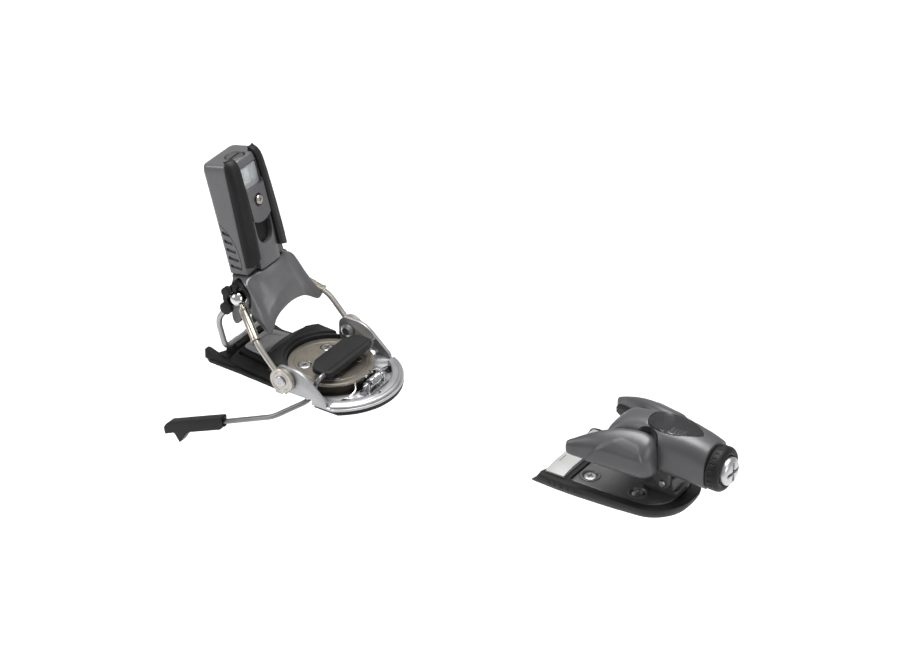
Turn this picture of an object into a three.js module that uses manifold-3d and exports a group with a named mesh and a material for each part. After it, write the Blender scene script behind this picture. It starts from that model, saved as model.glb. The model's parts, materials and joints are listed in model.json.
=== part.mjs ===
// Alpine ski binding with a turntable heel piece and a toe piece, in millimetres.
// +X runs from heel to toe, +Y to the skier's left and +Z up from the ski's top surface.
// The origin is on the turntable's axis, at the ski's top surface.
// It rests closed on a boot that isn't there, with its brake down.
import * as THREE from 'three';
import { mergeVertices } from 'three/addons/utils/BufferGeometryUtils.js';
import Module from 'manifold-3d';

const wasm = await Module();
wasm.setup();

// ---- Driving dimensions ----

const GAP = 0.35; // between pieces that touch
const SIDES = [['right', -1], ['left', 1]];

// Ski screws: one pattern under the heel disc, one through the toe plate
const SCREW_SHANK_R = 2.3;
const SCREW_HEAD_R = 4.6;
const SCREW_DEPTH = 8;
const HEEL_SCREWS = [[-13, -14], [-13, 14], [13, -14], [13, 14]];
const TOE_SCREWS = [[225.5, -16], [225.5, 16], [264, -16.5], [264, 16.5]];

// Heel disc, turntable and boot pad
const HEEL_RISE = 2.5; // from the ski's top surface up to the heel's own zero height
const SKI_TOP = -HEEL_RISE;
const HUB_R = 23.5;
const FLANGE_R = 31;
const FLANGE_LOW = 9.3;
const DISC_TOP = 12;
const PAD_TOP = 16.5;
const PAD_R = 44.5;
const PAD_HALF_WIDTH = 30.5;
const BASE_LOW = SKI_TOP + 0.4;
const BASE_FLOOR = 0.5;
const BASE_DECK = 8;
const FRAME_LOW = BASE_FLOOR + GAP;
const FRAME_TOP = FRAME_LOW + 1.6;
const FRONT_ARC_X = 5;
const FRAME_FRONT_R = 47;
const EAR_IN = 38;
const EAR_OUT = 40.6;

// Heel linkage, as X and Z in the plane of the near and far arms
const ARM_PIVOT = [-11.5, 14.5];
const ARM_BEND = [-31.9, 35.8];
const ARM_BEND_Y = 43;
const HEAD_PIVOT = [-60, 57];
const BALL_Y = 26.4;
const BALL_R = 6;
const AXLE_R = 2;
const AXLE_HALF = 23;
const STIRRUP_TOP = [-66.5, 51];
const STIRRUP_KNEE = [-80.4, 31.8];
const STIRRUP_FOOT = [-74.3, 9.6];
const STIRRUP_Y = 24;
const STIRRUP_PIN_Y = 12.5;
const STIRRUP_R = 2.1;
const EYE_R = 9.4;
const EYE_IN = 41.2;
const EYE_OUT = 45.2;
const RIVET_R = 3;
const ROD_R = 1.95;
const SLEEVE_R = 3.15;
const HEAD_LEAN = THREE.MathUtils.degToRad(11);

// Heel head, in its own frame: x forward of its origin, z up along the head
const HEAD_ORIGIN = [-51.4, 67.5];
const HEAD_FOOT = 7.5;
const HEAD_TOP = 89.5;
const RAIL_GROOVE = 3;
const SPRING_X = -11.6;
const SPRING_BORE_R = 7;
const DRUM_LOW = 69;
const COVER_SCREW_Z = 57;
const SCALLOP_R = 14.3;
const SCALLOP_Y = 18;

// A point in X and Z, as the head's own frame has it
function inHead([x, z]) {
  const [dx, dz] = [x - HEAD_ORIGIN[0], z - HEAD_ORIGIN[1]];
  const [c, s] = [Math.cos(HEAD_LEAN), Math.sin(HEAD_LEAN)];
  return [dx * c + dz * s, dz * c - dx * s];
}

const HEAD_AXLE = inHead(HEAD_PIVOT);
const HEAD_PIN = inHead(STIRRUP_TOP);

// Brake
const BRAKE_AXIS = [6, 1.4];
const PEDAL_AXIS = [13, 19.2];
const PEDAL_TOP = 21.5;
const PEDAL_THICK = 4.4;
const BRAKE_WIRE_R = 1.9;
const BRAKE_RISER_Y = 34.3;
const BRAKE_ARM_Y = 50;
const BRAKE_KNEE = [-15.3, -13.4];
const BRAKE_SLOPE = -0.434;
const BRAKE_WIRE_END_X = -72;
const TIP_START_X = -57;
const TIP_END_X = -108;
const TIP_Y = 51.5;

// Toe
const TOE_RISE = 1.2; // from the ski's top surface up to the toe's own zero height
const TOE_FLOOR = 2.8;
const TOE_RIM = 8.6;
const TOE_PLATE_TOP = 7.2;
const LIFT_AXIS = [280, 18];
const LIFT_PIN_R = 2.3;
const WING_PIVOT = [268, 21];
const WING_ROOT_R = 11;
const BARREL_Z = 37.8;
const BEZEL_R = 16;
const BEZEL_BACK = 314.4;
const BEZEL_FRONT = 324.2;
const TOE_BORE_R = 8.8;
const TOE_NUT_X = 297.6;
const AFD_HALF_WIDTH = 31;

// ---- Finishes ----

function finish(color, roughness, metalness) {
  return new THREE.MeshStandardMaterial({ color, roughness, metalness });
}

const graphite = finish(0x5c5c60, 0.45, 0.3);
const black = finish(0x1d1d1f, 0.6, 0);
const darkMetal = finish(0x47474a, 0.4, 0.7);
const champagne = finish(0xa79e8f, 0.35, 0.9);
const silver = finish(0xb5b5b9, 0.35, 0.9);
const chrome = finish(0xd2d2d6, 0.12, 1);
const steel = finish(0x8c8c90, 0.35, 0.9);
const smoked = finish(0x3c3c40, 0.1, 0);
const clear = finish(0xb8bcc0, 0.05, 0);
const pale = finish(0xd6d6d4, 0.5, 0);

// ---- Building blocks ----

const vec = (x, y, z) => new THREE.Vector3(x, y, z);

// Merges shared corners, drops flat triangles and turns the faces outwards.
function tidy(geometry) {
  geometry.deleteAttribute('normal');
  geometry.deleteAttribute('uv');
  const merged = mergeVertices(geometry, 1e-4);
  const corner = merged.getAttribute('position');
  const index = merged.getIndex().array;
  const kept = [];
  let volume = 0;
  for (let i = 0; i < index.length; i += 3) {
    const [a, b, c] = [index[i], index[i + 1], index[i + 2]];
    if (a === b || b === c || c === a) continue;
    kept.push(a, b, c);
    const [pa, pb, pc] = [a, b, c].map((n) => vec().fromBufferAttribute(corner, n));
    volume += pa.dot(pb.cross(pc));
  }
  if (volume < 0) kept.reverse();
  merged.setIndex(kept);
  return merged;
}

function toSolid(geometry) {
  const merged = tidy(geometry);
  const mesh = new wasm.Mesh({
    numProp: 3,
    vertProperties: new Float32Array(merged.getAttribute('position').array),
    triVerts: new Uint32Array(merged.getIndex().array),
  });
  return new wasm.Manifold(mesh);
}

function toGeometry(solid) {
  const mesh = solid.getMesh();
  const geometry = new THREE.BufferGeometry();
  geometry.setAttribute('position', new THREE.BufferAttribute(mesh.vertProperties, 3));
  geometry.setIndex(new THREE.BufferAttribute(mesh.triVerts, 1));
  return geometry;
}

// Joins the first list of geometries and cuts the second list from them.
function carve(joined, cuts = []) {
  let solid = toSolid(joined[0]);
  for (const extra of joined.slice(1)) solid = solid.add(toSolid(extra));
  for (const cut of cuts) solid = solid.subtract(toSolid(cut));
  return toGeometry(solid);
}

function outline(points) {
  return points instanceof THREE.Shape ? points : new THREE.Shape(points.map(([x, y]) => new THREE.Vector2(x, y)));
}

// An outline in X and Y, raised from low to high.
function slab(points, low, high, curveSegments = 12) {
  const depth = high - low;
  const geometry = new THREE.ExtrudeGeometry(outline(points), { depth, bevelEnabled: false, curveSegments });
  return geometry.translate(0, 0, low);
}

// An outline in X and Z, running from Y = from to Y = to.
function sideSlab(points, from, to, curveSegments = 12) {
  return slab(points, -to, -from, curveSegments).rotateX(Math.PI / 2);
}

// A profile of radius and height, turned about Z.
function turned(profile, sides = 32) {
  const points = profile.map(([r, h]) => new THREE.Vector2(r, h));
  return new THREE.LatheGeometry(points, sides).rotateX(Math.PI / 2);
}

function post(radius, low, high, x = 0, y = 0, sides = 20) {
  return turned([[0, low], [radius, low], [radius, high], [0, high]], sides).translate(x, y, 0);
}

// A round bar along Y, between two distances from the middle plane, on one side of it.
function crossBar([x, z], radius, side, inner, outer, sides = 16) {
  const bar = post(radius, inner, outer, 0, 0, sides).rotateX(-side * Math.PI / 2);
  return bar.translate(x, 0, z);
}

function block(from, to) {
  const size = to.map((high, i) => high - from[i]);
  const middle = to.map((high, i) => (high + from[i]) / 2);
  return new THREE.BoxGeometry(...size).translate(...middle);
}

// A closed skin over rings that hold the same number of points.
function loft(rings) {
  const count = rings[0].length;
  const points = rings.flat();
  const index = [];
  for (let ring = 0; ring < rings.length - 1; ring += 1) {
    for (let i = 0; i < count; i += 1) {
      const a = ring * count + i;
      const b = ring * count + (i + 1) % count;
      index.push(a, b, b + count, a, b + count, a + count);
    }
  }
  for (const [start, flip] of [[0, true], [(rings.length - 1) * count, false]]) {
    const middle = rings[start / count].reduce((sum, point) => sum.add(point), vec(0, 0, 0));
    points.push(middle.divideScalar(count));
    for (let i = 0; i < count; i += 1) {
      const pair = [start + i, start + (i + 1) % count];
      index.push(points.length - 1, ...(flip ? pair.reverse() : pair));
    }
  }
  const geometry = new THREE.BufferGeometry().setFromPoints(points);
  geometry.setIndex(index);
  return geometry;
}

// A ring of points round a rounded rectangle, given by its middle, half sizes and squareness.
function roundedRing(place, halfA, halfB, squareness, count = 20) {
  const ring = [];
  for (let i = 0; i < count; i += 1) {
    const angle = (i + 0.5) / count * 2 * Math.PI;
    const [c, s] = [Math.cos(angle), Math.sin(angle)];
    const a = Math.sign(c) * Math.abs(c) ** (2 / squareness) * halfA;
    const b = Math.sign(s) * Math.abs(s) ** (2 / squareness) * halfB;
    ring.push(place(a, b));
  }
  return ring;
}

// A wire through the given corners, each corner rounded over a length of bend.
function wire(corners, radius, bend, steps, sides = 10) {
  const path = new THREE.CurvePath();
  let from = corners[0];
  for (let i = 1; i < corners.length - 1; i += 1) {
    const back = corners[i - 1].clone().sub(corners[i]).setLength(bend).add(corners[i]);
    const ahead = corners[i + 1].clone().sub(corners[i]).setLength(bend).add(corners[i]);
    path.add(new THREE.LineCurve3(from, back));
    path.add(new THREE.QuadraticBezierCurve3(back, corners[i], ahead));
    from = ahead;
  }
  path.add(new THREE.LineCurve3(from, corners.at(-1)));
  const section = new THREE.Shape().absarc(0, 0, radius, 0, 2 * Math.PI);
  const options = { steps, extrudePath: path, bevelEnabled: false, curveSegments: sides / 2 };
  return new THREE.ExtrudeGeometry(section, options);
}

// A coil spring about Z, as a wire along a helix.
function coil(radius, wireR, low, high, turns, stepsPerTurn = 12) {
  class Helix extends THREE.Curve {
    getPoint(t) {
      const angle = t * turns * 2 * Math.PI;
      return vec(radius * Math.cos(angle), radius * Math.sin(angle), low + (high - low) * t);
    }
  }
  const section = new THREE.Shape().absarc(0, 0, wireR, 0, 2 * Math.PI);
  const steps = turns * stepsPerTurn;
  return new THREE.ExtrudeGeometry(section, { steps, extrudePath: new Helix(), curveSegments: 3 });
}

const binding = new THREE.Group();
const heel = new THREE.Group();
const head = new THREE.Group();
const toe = new THREE.Group();
heel.position.z = HEEL_RISE;
head.position.set(HEAD_ORIGIN[0], 0, HEAD_ORIGIN[1]);
head.rotation.y = -HEAD_LEAN;
toe.position.z = TOE_RISE;
heel.add(head);
binding.add(heel, toe);

function piece(name, geometry, material, parent = heel) {
  const mesh = new THREE.Mesh(tidy(geometry), material);
  mesh.name = name;
  parent.add(mesh);
  return mesh;
}

// ---- Heel: disc, screws and turntable ----

function screwHole(x, y, faceZ) {
  const wide = SCREW_HEAD_R + GAP;
  const narrow = SCREW_SHANK_R + GAP;
  const profile = [[0, -6], [narrow, -6], [narrow, faceZ - 3], [wide, faceZ - 1], [wide, faceZ + 3], [0, faceZ + 3]];
  return turned(profile, 14).translate(x, y, 0);
}

// A countersunk screw with a cross recess, its head just below the face it holds.
function skiScrew(faceZ) {
  const top = faceZ - 0.4;
  const shoulder = faceZ - 2.6;
  const profile = [[0, -SCREW_DEPTH], [0.6, -SCREW_DEPTH], [SCREW_SHANK_R, -SCREW_DEPTH + 3],
    [SCREW_SHANK_R, shoulder], [SCREW_HEAD_R, top - 0.5], [SCREW_HEAD_R, top], [0, top]];
  const recess = [0, 1].map((turn) => block([-2.4, -0.55, top - 1.5], [2.4, 0.55, top + 1])
    .rotateZ(turn * Math.PI / 2));
  return carve([turned(profile, 12)], recess);
}

function mountingDisc() {
  const body = turned([[0, SKI_TOP], [HUB_R, SKI_TOP], [HUB_R, FLANGE_LOW], [FLANGE_R, FLANGE_LOW],
    [FLANGE_R, DISC_TOP - 0.5], [FLANGE_R - 0.5, DISC_TOP], [0, DISC_TOP]], 40);
  return carve([body], HEEL_SCREWS.map(([x, y]) => screwHole(x, y, DISC_TOP)));
}

// The turntable's plan: a boat tail, straight sides and a round front.
function baseOutline() {
  const shape = new THREE.Shape();
  const front = Math.asin(38.5 / FRAME_FRONT_R);
  shape.moveTo(-78, 0);
  shape.lineTo(-81, -13);
  shape.lineTo(-88, -28);
  shape.lineTo(-84, -30.5);
  shape.lineTo(-56, -31.5);
  shape.lineTo(-20, -34);
  shape.lineTo(2, -38.5);
  shape.absarc(FRONT_ARC_X, 0, FRAME_FRONT_R, -front, front, false);
  shape.lineTo(2, 38.5);
  shape.lineTo(-20, 34);
  shape.lineTo(-56, 31.5);
  shape.lineTo(-84, 30.5);
  shape.lineTo(-88, 28);
  shape.lineTo(-81, 13);
  return shape;
}

function heelBase() {
  const section = (x, wide, narrow) => {
    const half = [[wide, BASE_FLOOR - 1], [wide, BASE_FLOOR + 1.5], [narrow, BASE_DECK]];
    return [...half, ...half.map(([y, z]) => [-y, z]).reverse()].map(([y, z]) => vec(x, y, z));
  };
  const deck = loft([section(-70, 27, 17.5), section(-24, 32, 20)]);
  const joined = [slab(baseOutline(), BASE_LOW, BASE_FLOOR, 16), deck];
  const saddle = [[-80, 0], [-78.5, 9.2], [-69, 9.2], [-67, 0]];
  for (const [, side] of SIDES) {
    const horn = [[-88, 0], [-88, 8], [-85.5, 8.4], [-62, 1], [-62, 0]];
    joined.push(sideSlab(horn, Math.min(26.5 * side, 30 * side), Math.max(26.5 * side, 30 * side)));
    joined.push(sideSlab(saddle, Math.min(5 * side, 16 * side), Math.max(5 * side, 16 * side)));
  }
  const cuts = [post(HUB_R + GAP + 0.15, -5, 20, 0, 0, 40)];
  for (const [, side] of SIDES) {
    const notch = [[-14, 32.2], [12, 32.2], [12, 60], [-14, 60]];
    cuts.push(slab(notch.map(([x, y]) => [x, y * side]), -5, BASE_FLOOR + 1));
    cuts.push(crossBar(STIRRUP_FOOT, STIRRUP_R + GAP, side, 0, 30));
  }
  return carve(joined, cuts);
}

function heelPad() {
  const shape = new THREE.Shape();
  const outer = Math.asin(PAD_HALF_WIDTH / PAD_R);
  const inner = Math.acos(12 / (FLANGE_R + GAP));
  shape.moveTo(-12, PAD_HALF_WIDTH);
  shape.absarc(0, 0, PAD_R, Math.PI - outer, Math.PI + outer, false);
  shape.lineTo(-12, -PAD_HALF_WIDTH);
  shape.absarc(0, 0, FLANGE_R + GAP, Math.PI + inner, Math.PI - inner, true);
  const raised = slab(shape, BASE_DECK + GAP, PAD_TOP, 20);
  const slope = block([-30, -60, 0], [0, 60, 12]).rotateY(-0.35).translate(-38, 0, PAD_TOP - 0.5);
  return carve([raised], [slope]);
}

function turntableFrame() {
  const shape = new THREE.Shape();
  const front = Math.asin(EAR_OUT / FRAME_FRONT_R);
  shape.moveTo(-23, 30);
  shape.lineTo(-23, -30);
  shape.lineTo(-19.5, -EAR_OUT);
  shape.absarc(FRONT_ARC_X, 0, FRAME_FRONT_R, -front, front, false);
  shape.lineTo(-19.5, EAR_OUT);
  const joined = [slab(shape, FRAME_LOW, FRAME_TOP, 16)];
  const ear = [[-19.5, FRAME_LOW + 0.2], [-19.5, 20], [-16, 24], [2.5, 24], [24, 5.5], [24, FRAME_LOW + 0.2]];
  const cuts = [post(FLANGE_R + GAP + 0.15, -5, 30, 0, 0, 40)];
  for (const [, side] of SIDES) {
    joined.push(sideSlab(ear, Math.min(EAR_IN * side, EAR_OUT * side), Math.max(EAR_IN * side, EAR_OUT * side)));
    cuts.push(crossBar(ARM_PIVOT, RIVET_R + GAP, side, 30, 60));
    const notch = [[-13.5, 32.2], [11.5, 32.2], [11.5, 60], [-13.5, 60]];
    cuts.push(slab(notch.map(([x, y]) => [x, y * side]), -5, 4.6));
  }
  return carve(joined, cuts);
}

// The raised silver ring round the brake well, stepped, with a notch at its inner edge.
function brakePlate() {
  const low = FRAME_TOP + GAP;
  const inner = 38.5;
  const outer = 45.7;
  const ring = turned([[inner, low], [outer, low], [outer, low + 1.2], [outer - 2.5, low + 2.4],
    [inner, low + 2.4], [inner, low]], 56).translate(FRONT_ARC_X, 0, 0);
  const behind = block([-60, -60, 0], [26.5, 60, 20]);
  const notch = block([40, -13, 0], [46.5, -4, 20]);
  return carve([ring], [behind, notch]);
}

// The chrome bracket in the brake well: a foot, two cheeks and a pin between them.
function brakeBracket() {
  const low = FRAME_TOP + GAP;
  const foot = block([32.2, -13, low], [41, 13, low + 1.2]);
  const cheeks = [-1, 1].map((side) => {
    const cheek = [[32.4, low + 0.5], [40, low + 0.5], [38.4, 11], [34.2, 11]];
    return sideSlab(cheek, side * 9 - 0.8, side * 9 + 0.8);
  });
  const pin = sideSlab(new THREE.Shape().absarc(36.4, 8.8, 1.2, 0, 2 * Math.PI), -12, 12, 5);
  return carve([foot, ...cheeks, pin]);
}

function brakeSpring() {
  const turns = coil(2.6, 0.5, -6.5, 6.5, 6, 8).rotateX(Math.PI / 2);
  return turns.translate(36.4, 0, 8.8);
}

function stirrupBridge() {
  const plan = [[-65, -15], [-46, -17], [-46, 17], [-65, 15]];
  return slab(plan, BASE_DECK + GAP, BASE_DECK + 2);
}

// ---- Heel: arms ----

// From the bend of each arm to the middle of its ball
function armAxis(side) {
  const rise = [HEAD_PIVOT[0] - ARM_BEND[0], HEAD_PIVOT[1] - ARM_BEND[1]];
  return vec(rise[0], side * (BALL_Y - ARM_BEND_Y), rise[1]).normalize();
}

function alongArm(distance, side) {
  return vec(HEAD_PIVOT[0], side * BALL_Y, HEAD_PIVOT[1]).addScaledVector(armAxis(side), distance);
}

// Stands a shape that was made along Z on the arm's axis, at the middle of its ball.
function ontoArm(geometry, side) {
  const turn = new THREE.Quaternion().setFromUnitVectors(vec(0, 0, 1), armAxis(side));
  return geometry.applyQuaternion(turn).translate(HEAD_PIVOT[0], side * BALL_Y, HEAD_PIVOT[1]);
}

function armRod(side) {
  const eye = crossBar(ARM_PIVOT, EYE_R, side, EYE_IN, EYE_OUT, 28);
  const towards = vec(ARM_BEND[0] - ARM_PIVOT[0], 0, ARM_BEND[1] - ARM_PIVOT[1]).normalize();
  const start = vec(ARM_PIVOT[0], side * 43.2, ARM_PIVOT[1]).addScaledVector(towards, 6.5);
  const corners = [start, vec(ARM_BEND[0], side * ARM_BEND_Y, ARM_BEND[1]), alongArm(-24, side)];
  return carve([eye, wire(corners, ROD_R, 5, 8, 10)], [crossBar(ARM_PIVOT, RIVET_R + GAP, side, 30, 60)]);
}

function armSleeve(side) {
  const [low, high] = [-35, -8.4];
  const inner = ROD_R + GAP;
  const profile = [[inner, low], [SLEEVE_R - 0.4, low], [SLEEVE_R, low + 0.5], [SLEEVE_R, high - 0.5],
    [SLEEVE_R - 0.5, high], [inner, high], [inner, low]];
  return ontoArm(turned(profile, 16), side);
}

function armRivet(side) {
  const profile = [[0, 34.6], [3, 34.6], [5, 36], [5, 37.6], [RIVET_R, 37.6], [RIVET_R, EYE_OUT + GAP],
    [4.2, EYE_OUT + GAP], [4.2, EYE_OUT + 1], [3.4, EYE_OUT + 1.6], [0, EYE_OUT + 1.6]];
  return turned(profile, 16).rotateX(-side * Math.PI / 2).translate(ARM_PIVOT[0], 0, ARM_PIVOT[1]);
}

function trunnion(side) {
  const ball = new THREE.SphereGeometry(BALL_R, 16, 10).rotateX(Math.PI / 2);
  ball.translate(HEAD_PIVOT[0], side * BALL_Y, HEAD_PIVOT[1]);
  const screwBore = ontoArm(post(1.6 + GAP, -10, 10, 0, 0, 12), side);
  return carve([ball], [screwBore, crossBar(HEAD_PIVOT, AXLE_R + GAP, side, 0, AXLE_HALF + 0.6, 12)]);
}

// The axle that the head turns on, from ball to ball.
function pivotAxle() {
  const ring = new THREE.Shape().absarc(HEAD_PIVOT[0], HEAD_PIVOT[1], AXLE_R, 0, 2 * Math.PI);
  return sideSlab(ring, -AXLE_HALF, AXLE_HALF, 10);
}

// The forward-pressure screw: its slotted head stands beyond the ball, its shank reaches the sleeve.
function forwardScrew(side) {
  const shank = post(1.6, -8.2, 7, 0, 0, 12);
  const screwHead = turned([[0, 6.4], [3.2, 6.4], [3.4, 7], [3.4, 9.4], [2.9, 10], [0, 10]], 16);
  const slot = block([-5, -0.5, 8.8], [5, 0.5, 12]);
  return ontoArm(carve([shank, screwHead], [slot]), side);
}

// ---- Heel: head ----

// One slice across the head at a height along it: flat sides, round back, stepped front for the rails.
function headSlice(u, back, halfWidth, front) {
  const behind = railBack(u);
  const inner = railInner(u) - GAP;
  const half = [[back, 0], [back, halfWidth - 4], [back + 1.4, halfWidth - 1.4], [back + 4, halfWidth],
    [behind, halfWidth], [behind, inner], [front - 0.5, inner], [front, 6], [front, 0]];
  const mirrored = half.slice(1, -1).reverse().map(([x, y]) => [x, -y]);
  return [...half, ...mirrored].map(([x, y]) => vec(x, y, u));
}

// Where a rail's groove starts and how far it is from the middle plane, at a height along the head.
function railBack(u) {
  return -1.3 - u * 0.07;
}

function railInner(u) {
  return 11.8 - u * 0.02;
}

function heelHousing() {
  const slices = [
    headSlice(HEAD_FOOT, -18.4, 22, 3.4),
    headSlice(30, -20.9, 21.3, 2.9),
    headSlice(60, -24.6, 19.9, 1.4),
    headSlice(84, -27.6, 18.9, -1.2),
    headSlice(HEAD_TOP, -27.4, 17.8, -3),
  ];
  const cuts = [
    post(SPRING_BORE_R, -5, 66, SPRING_X, 0, 20),
    post(3.4, 60, 100, SPRING_X, 0, 16),
    post(7.2, 85.6, 100, SPRING_X, 0, 20),
    block([SPRING_X - 8.9, -9.8, 65], [6, 9.8, 84.2]),
    post(2.6, 0, 3, 0, 0, 12).rotateY(Math.PI / 2).translate(0.6, 0, COVER_SCREW_Z),
  ];
  return carve([loft(slices)], cuts);
}

// A black rail along one front corner of the head, rounded at its top and cut obliquely at its foot.
function rail(side) {
  const slice = (u, front, wide, back = railBack(u)) => {
    const inner = railInner(u);
    return [[back + GAP, inner], [front, inner], [front + 0.3, inner + 2.4], [front - 1.6, wide - 2],
      [front - 4.2, wide], [back + GAP, wide]].map(([x, y]) => vec(x, side * y, u));
  };
  const foot = slice(13, 4.9, 22.6).map((point) => point.setZ(17.4 - (Math.abs(point.y) - 11.5) * 0.35));
  return loft([foot, slice(30, 4.3, 22), slice(60, 2.6, 20.6), slice(82, 0.6, 19.6), slice(88.5, -1.6, 18.9),
    slice(92, -4.4, 17.6, -8.1)]);
}

function heelWindow() {
  return block([-3, -9.5, 66.2], [-1.6, 9.5, 83]);
}

// The ribbed drum behind the window, which shows the release setting.
function heelIndicator() {
  const ribs = 12;
  const shape = new THREE.Shape();
  for (let i = 0; i < 2 * ribs; i += 1) {
    const angle = (i + 0.5) / ribs * Math.PI;
    const r = i % 4 < 2 ? 7.7 : 7;
    shape[i ? 'lineTo' : 'moveTo'](r * Math.cos(angle), r * Math.sin(angle));
  }
  const barrel = slab(shape, DRUM_LOW + 2, DRUM_LOW + 11.5);
  const flange = post(8.1, DRUM_LOW, DRUM_LOW + 2.2, 0, 0, 24);
  const seat = turned([[0, 60.2], [6.6, 60.2], [6.6, 63], [4.2, 64], [4.2, DRUM_LOW + 1], [0, DRUM_LOW + 1]], 20);
  return carve([barrel, flange, seat], [post(2.6 + GAP, 0, 100, 0, 0, 16)]).translate(SPRING_X, 0, 0);
}

// The release adjuster: a slotted head in the recess at the top, on a long threaded shank.
function heelAdjuster() {
  const profile = [[0, 62], [2.6, 62], [2.6, 86.2], [6.4, 86.2], [6.8, 86.8], [6.8, 88.4], [6.2, 89], [0, 89]];
  const slot = block([-0.7, -8, 87.6], [0.7, 8, 92]).translate(SPRING_X, 0, 0);
  return carve([turned(profile, 20).translate(SPRING_X, 0, 0)], [slot]);
}

function heelSpring() {
  return coil(5.1, 1.15, 3.4, 58.4, 8, 8).translate(SPRING_X, 0, 0);
}

// The piston that the stirrup pushes up against the spring.
function heelPiston() {
  const profile = [[0, -4.5], [4, -4.5], [6.6, -1.5], [6.6, 1.6], [3.4, 1.6], [3.4, 6], [0, 6]];
  return turned(profile, 20).translate(SPRING_X, 0, 0);
}

function coverScrew() {
  const profile = [[0, 0.9], [2.2, 0.9], [2.2, 2], [3.3, 2.9], [3.3, 3.5], [2.6, 3.9], [0, 3.9]];
  const body = turned(profile, 14).rotateY(Math.PI / 2);
  const slots = [block([3.2, -1.7, -0.35], [5, 1.7, 0.35]), block([3.2, -0.35, -1.7], [5, 0.35, 1.7])];
  return carve([body], slots).translate(0, 0, COVER_SCREW_Z);
}

// Half-outlines across the cup at distances from the middle plane, from its back top round its front lip.
const CUP_SLICES = [
  [0, [-19, 6.6], [-8, 7], [2, 7.1], [6, 3.4], [10.6, -2.5], [14, -8.5], [15, -21], [7, -17], [-4, -14], [-18, -8]],
  [12, [-19, 6.6], [-8, 7], [1.6, 7.1], [5.2, 2.4], [9.4, -5.2], [13.2, -11.5], [14.8, -22.8], [7, -18.5],
    [-4, -14.5], [-18, -8]],
  [19, [-18, 6.6], [-8, 7], [0.2, 7.1], [3.4, 1], [7.2, -7.2], [11.6, -15.4], [14.6, -26], [7.2, -21], [-3, -15.5],
    [-17, -8]],
  [24.4, [-14, 4.5], [-8, 5], [-2.2, 5], [2.4, -3.5], [6.6, -12.3], [11.6, -21.2], [15.6, -30], [9.4, -26.5],
    [0.4, -17.5], [-12, -8]],
  [28.2, [-9, 0], [-5, 1], [0, 0.6], [4.2, -8.4], [9, -17], [13.4, -24.6], [16.4, -32], [12, -31], [4, -20.5], [-7, -9]],
  [32, [2.5, -15.5], [3.5, -15], [5.5, -15], [8, -17.5], [11, -21.5], [14.8, -26.5], [16.4, -31], [14, -30.5],
    [8.6, -23.8], [3.2, -17]],
];

function heelCup() {
  const halves = CUP_SLICES.slice(1).map(([y, ...points]) => [-y, ...points]).reverse();
  const rings = [...halves, ...CUP_SLICES].map(([y, ...points]) => points.map(([x, z]) => vec(x, y, z)));
  const tail = [[-16.6, 6.6], [-19, 4], [-25.4, -12], [-28, -31], [-26.6, -35.5], [-22.4, -35.5], [-14, -23], [-8, -12],
    [-8, 6.6]];
  const joined = [loft(rings), sideSlab(tail, -17, 17)];
  const cuts = [post(SPRING_BORE_R, -30, 20, SPRING_X, 0, 20)];
  for (const [, side] of SIDES) {
    cuts.push(crossBar(HEAD_AXLE, SCALLOP_R, side, SCALLOP_Y, 60, 28));
    cuts.push(crossBar(HEAD_AXLE, AXLE_R + GAP, side, 0, 30, 12));
    cuts.push(crossBar(HEAD_PIN, STIRRUP_R + 2.6, side, STIRRUP_PIN_Y - 0.6, 60));
  }
  return carve(joined, cuts);
}

// The black knuckle round a ball: a deep arc in front of it, and a rim with two lobes behind it.
function knuckle(side) {
  const sector = (inner, outer, from, to, near, far) => {
    const shape = new THREE.Shape();
    shape.absarc(0, 0, outer, from * Math.PI / 180, to * Math.PI / 180, false);
    shape.absarc(0, 0, inner, to * Math.PI / 180, from * Math.PI / 180, true);
    return sideSlab(shape, Math.min(side * near, side * far), Math.max(side * near, side * far), 7);
  };
  const lobe = (x, z, radius) => crossBar([x, z], radius, side, 27.2, 31.2);
  const joined = [sector(11, 13.9, -30, 100, SCALLOP_Y + GAP, 29.5), sector(6.9, 13.9, 72, 100, 27.2, 30.8),
    sector(6.9, 10.5, 92, 232, 27.2, 30.8), lobe(-9.9, -7.5, 4.6), lobe(-7, 5.4, 3.6)];
  const clearance = new THREE.SphereGeometry(BALL_R + GAP, 16, 10).rotateX(Math.PI / 2);
  clearance.translate(0, side * BALL_Y, 0);
  return carve(joined, [clearance]).translate(HEAD_AXLE[0], 0, HEAD_AXLE[1]);
}

// The steel stirrup: one bent bar from the head's spring cam, down round the tail of the turntable and back.
function heelStirrup() {
  const [top, knee, foot] = [STIRRUP_TOP, STIRRUP_KNEE, STIRRUP_FOOT];
  const corners = [vec(top[0], -STIRRUP_PIN_Y, top[1]), vec(top[0], -STIRRUP_Y, top[1]), vec(knee[0], -STIRRUP_Y, knee[1]),
    vec(foot[0], -STIRRUP_Y + 0.5, foot[1])];
  const mirrored = corners.map((point) => vec(point.x, -point.y, point.z)).reverse();
  return wire([...corners, ...mirrored], STIRRUP_R, 3, 60, 8);
}

// ---- Brake ----

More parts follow.
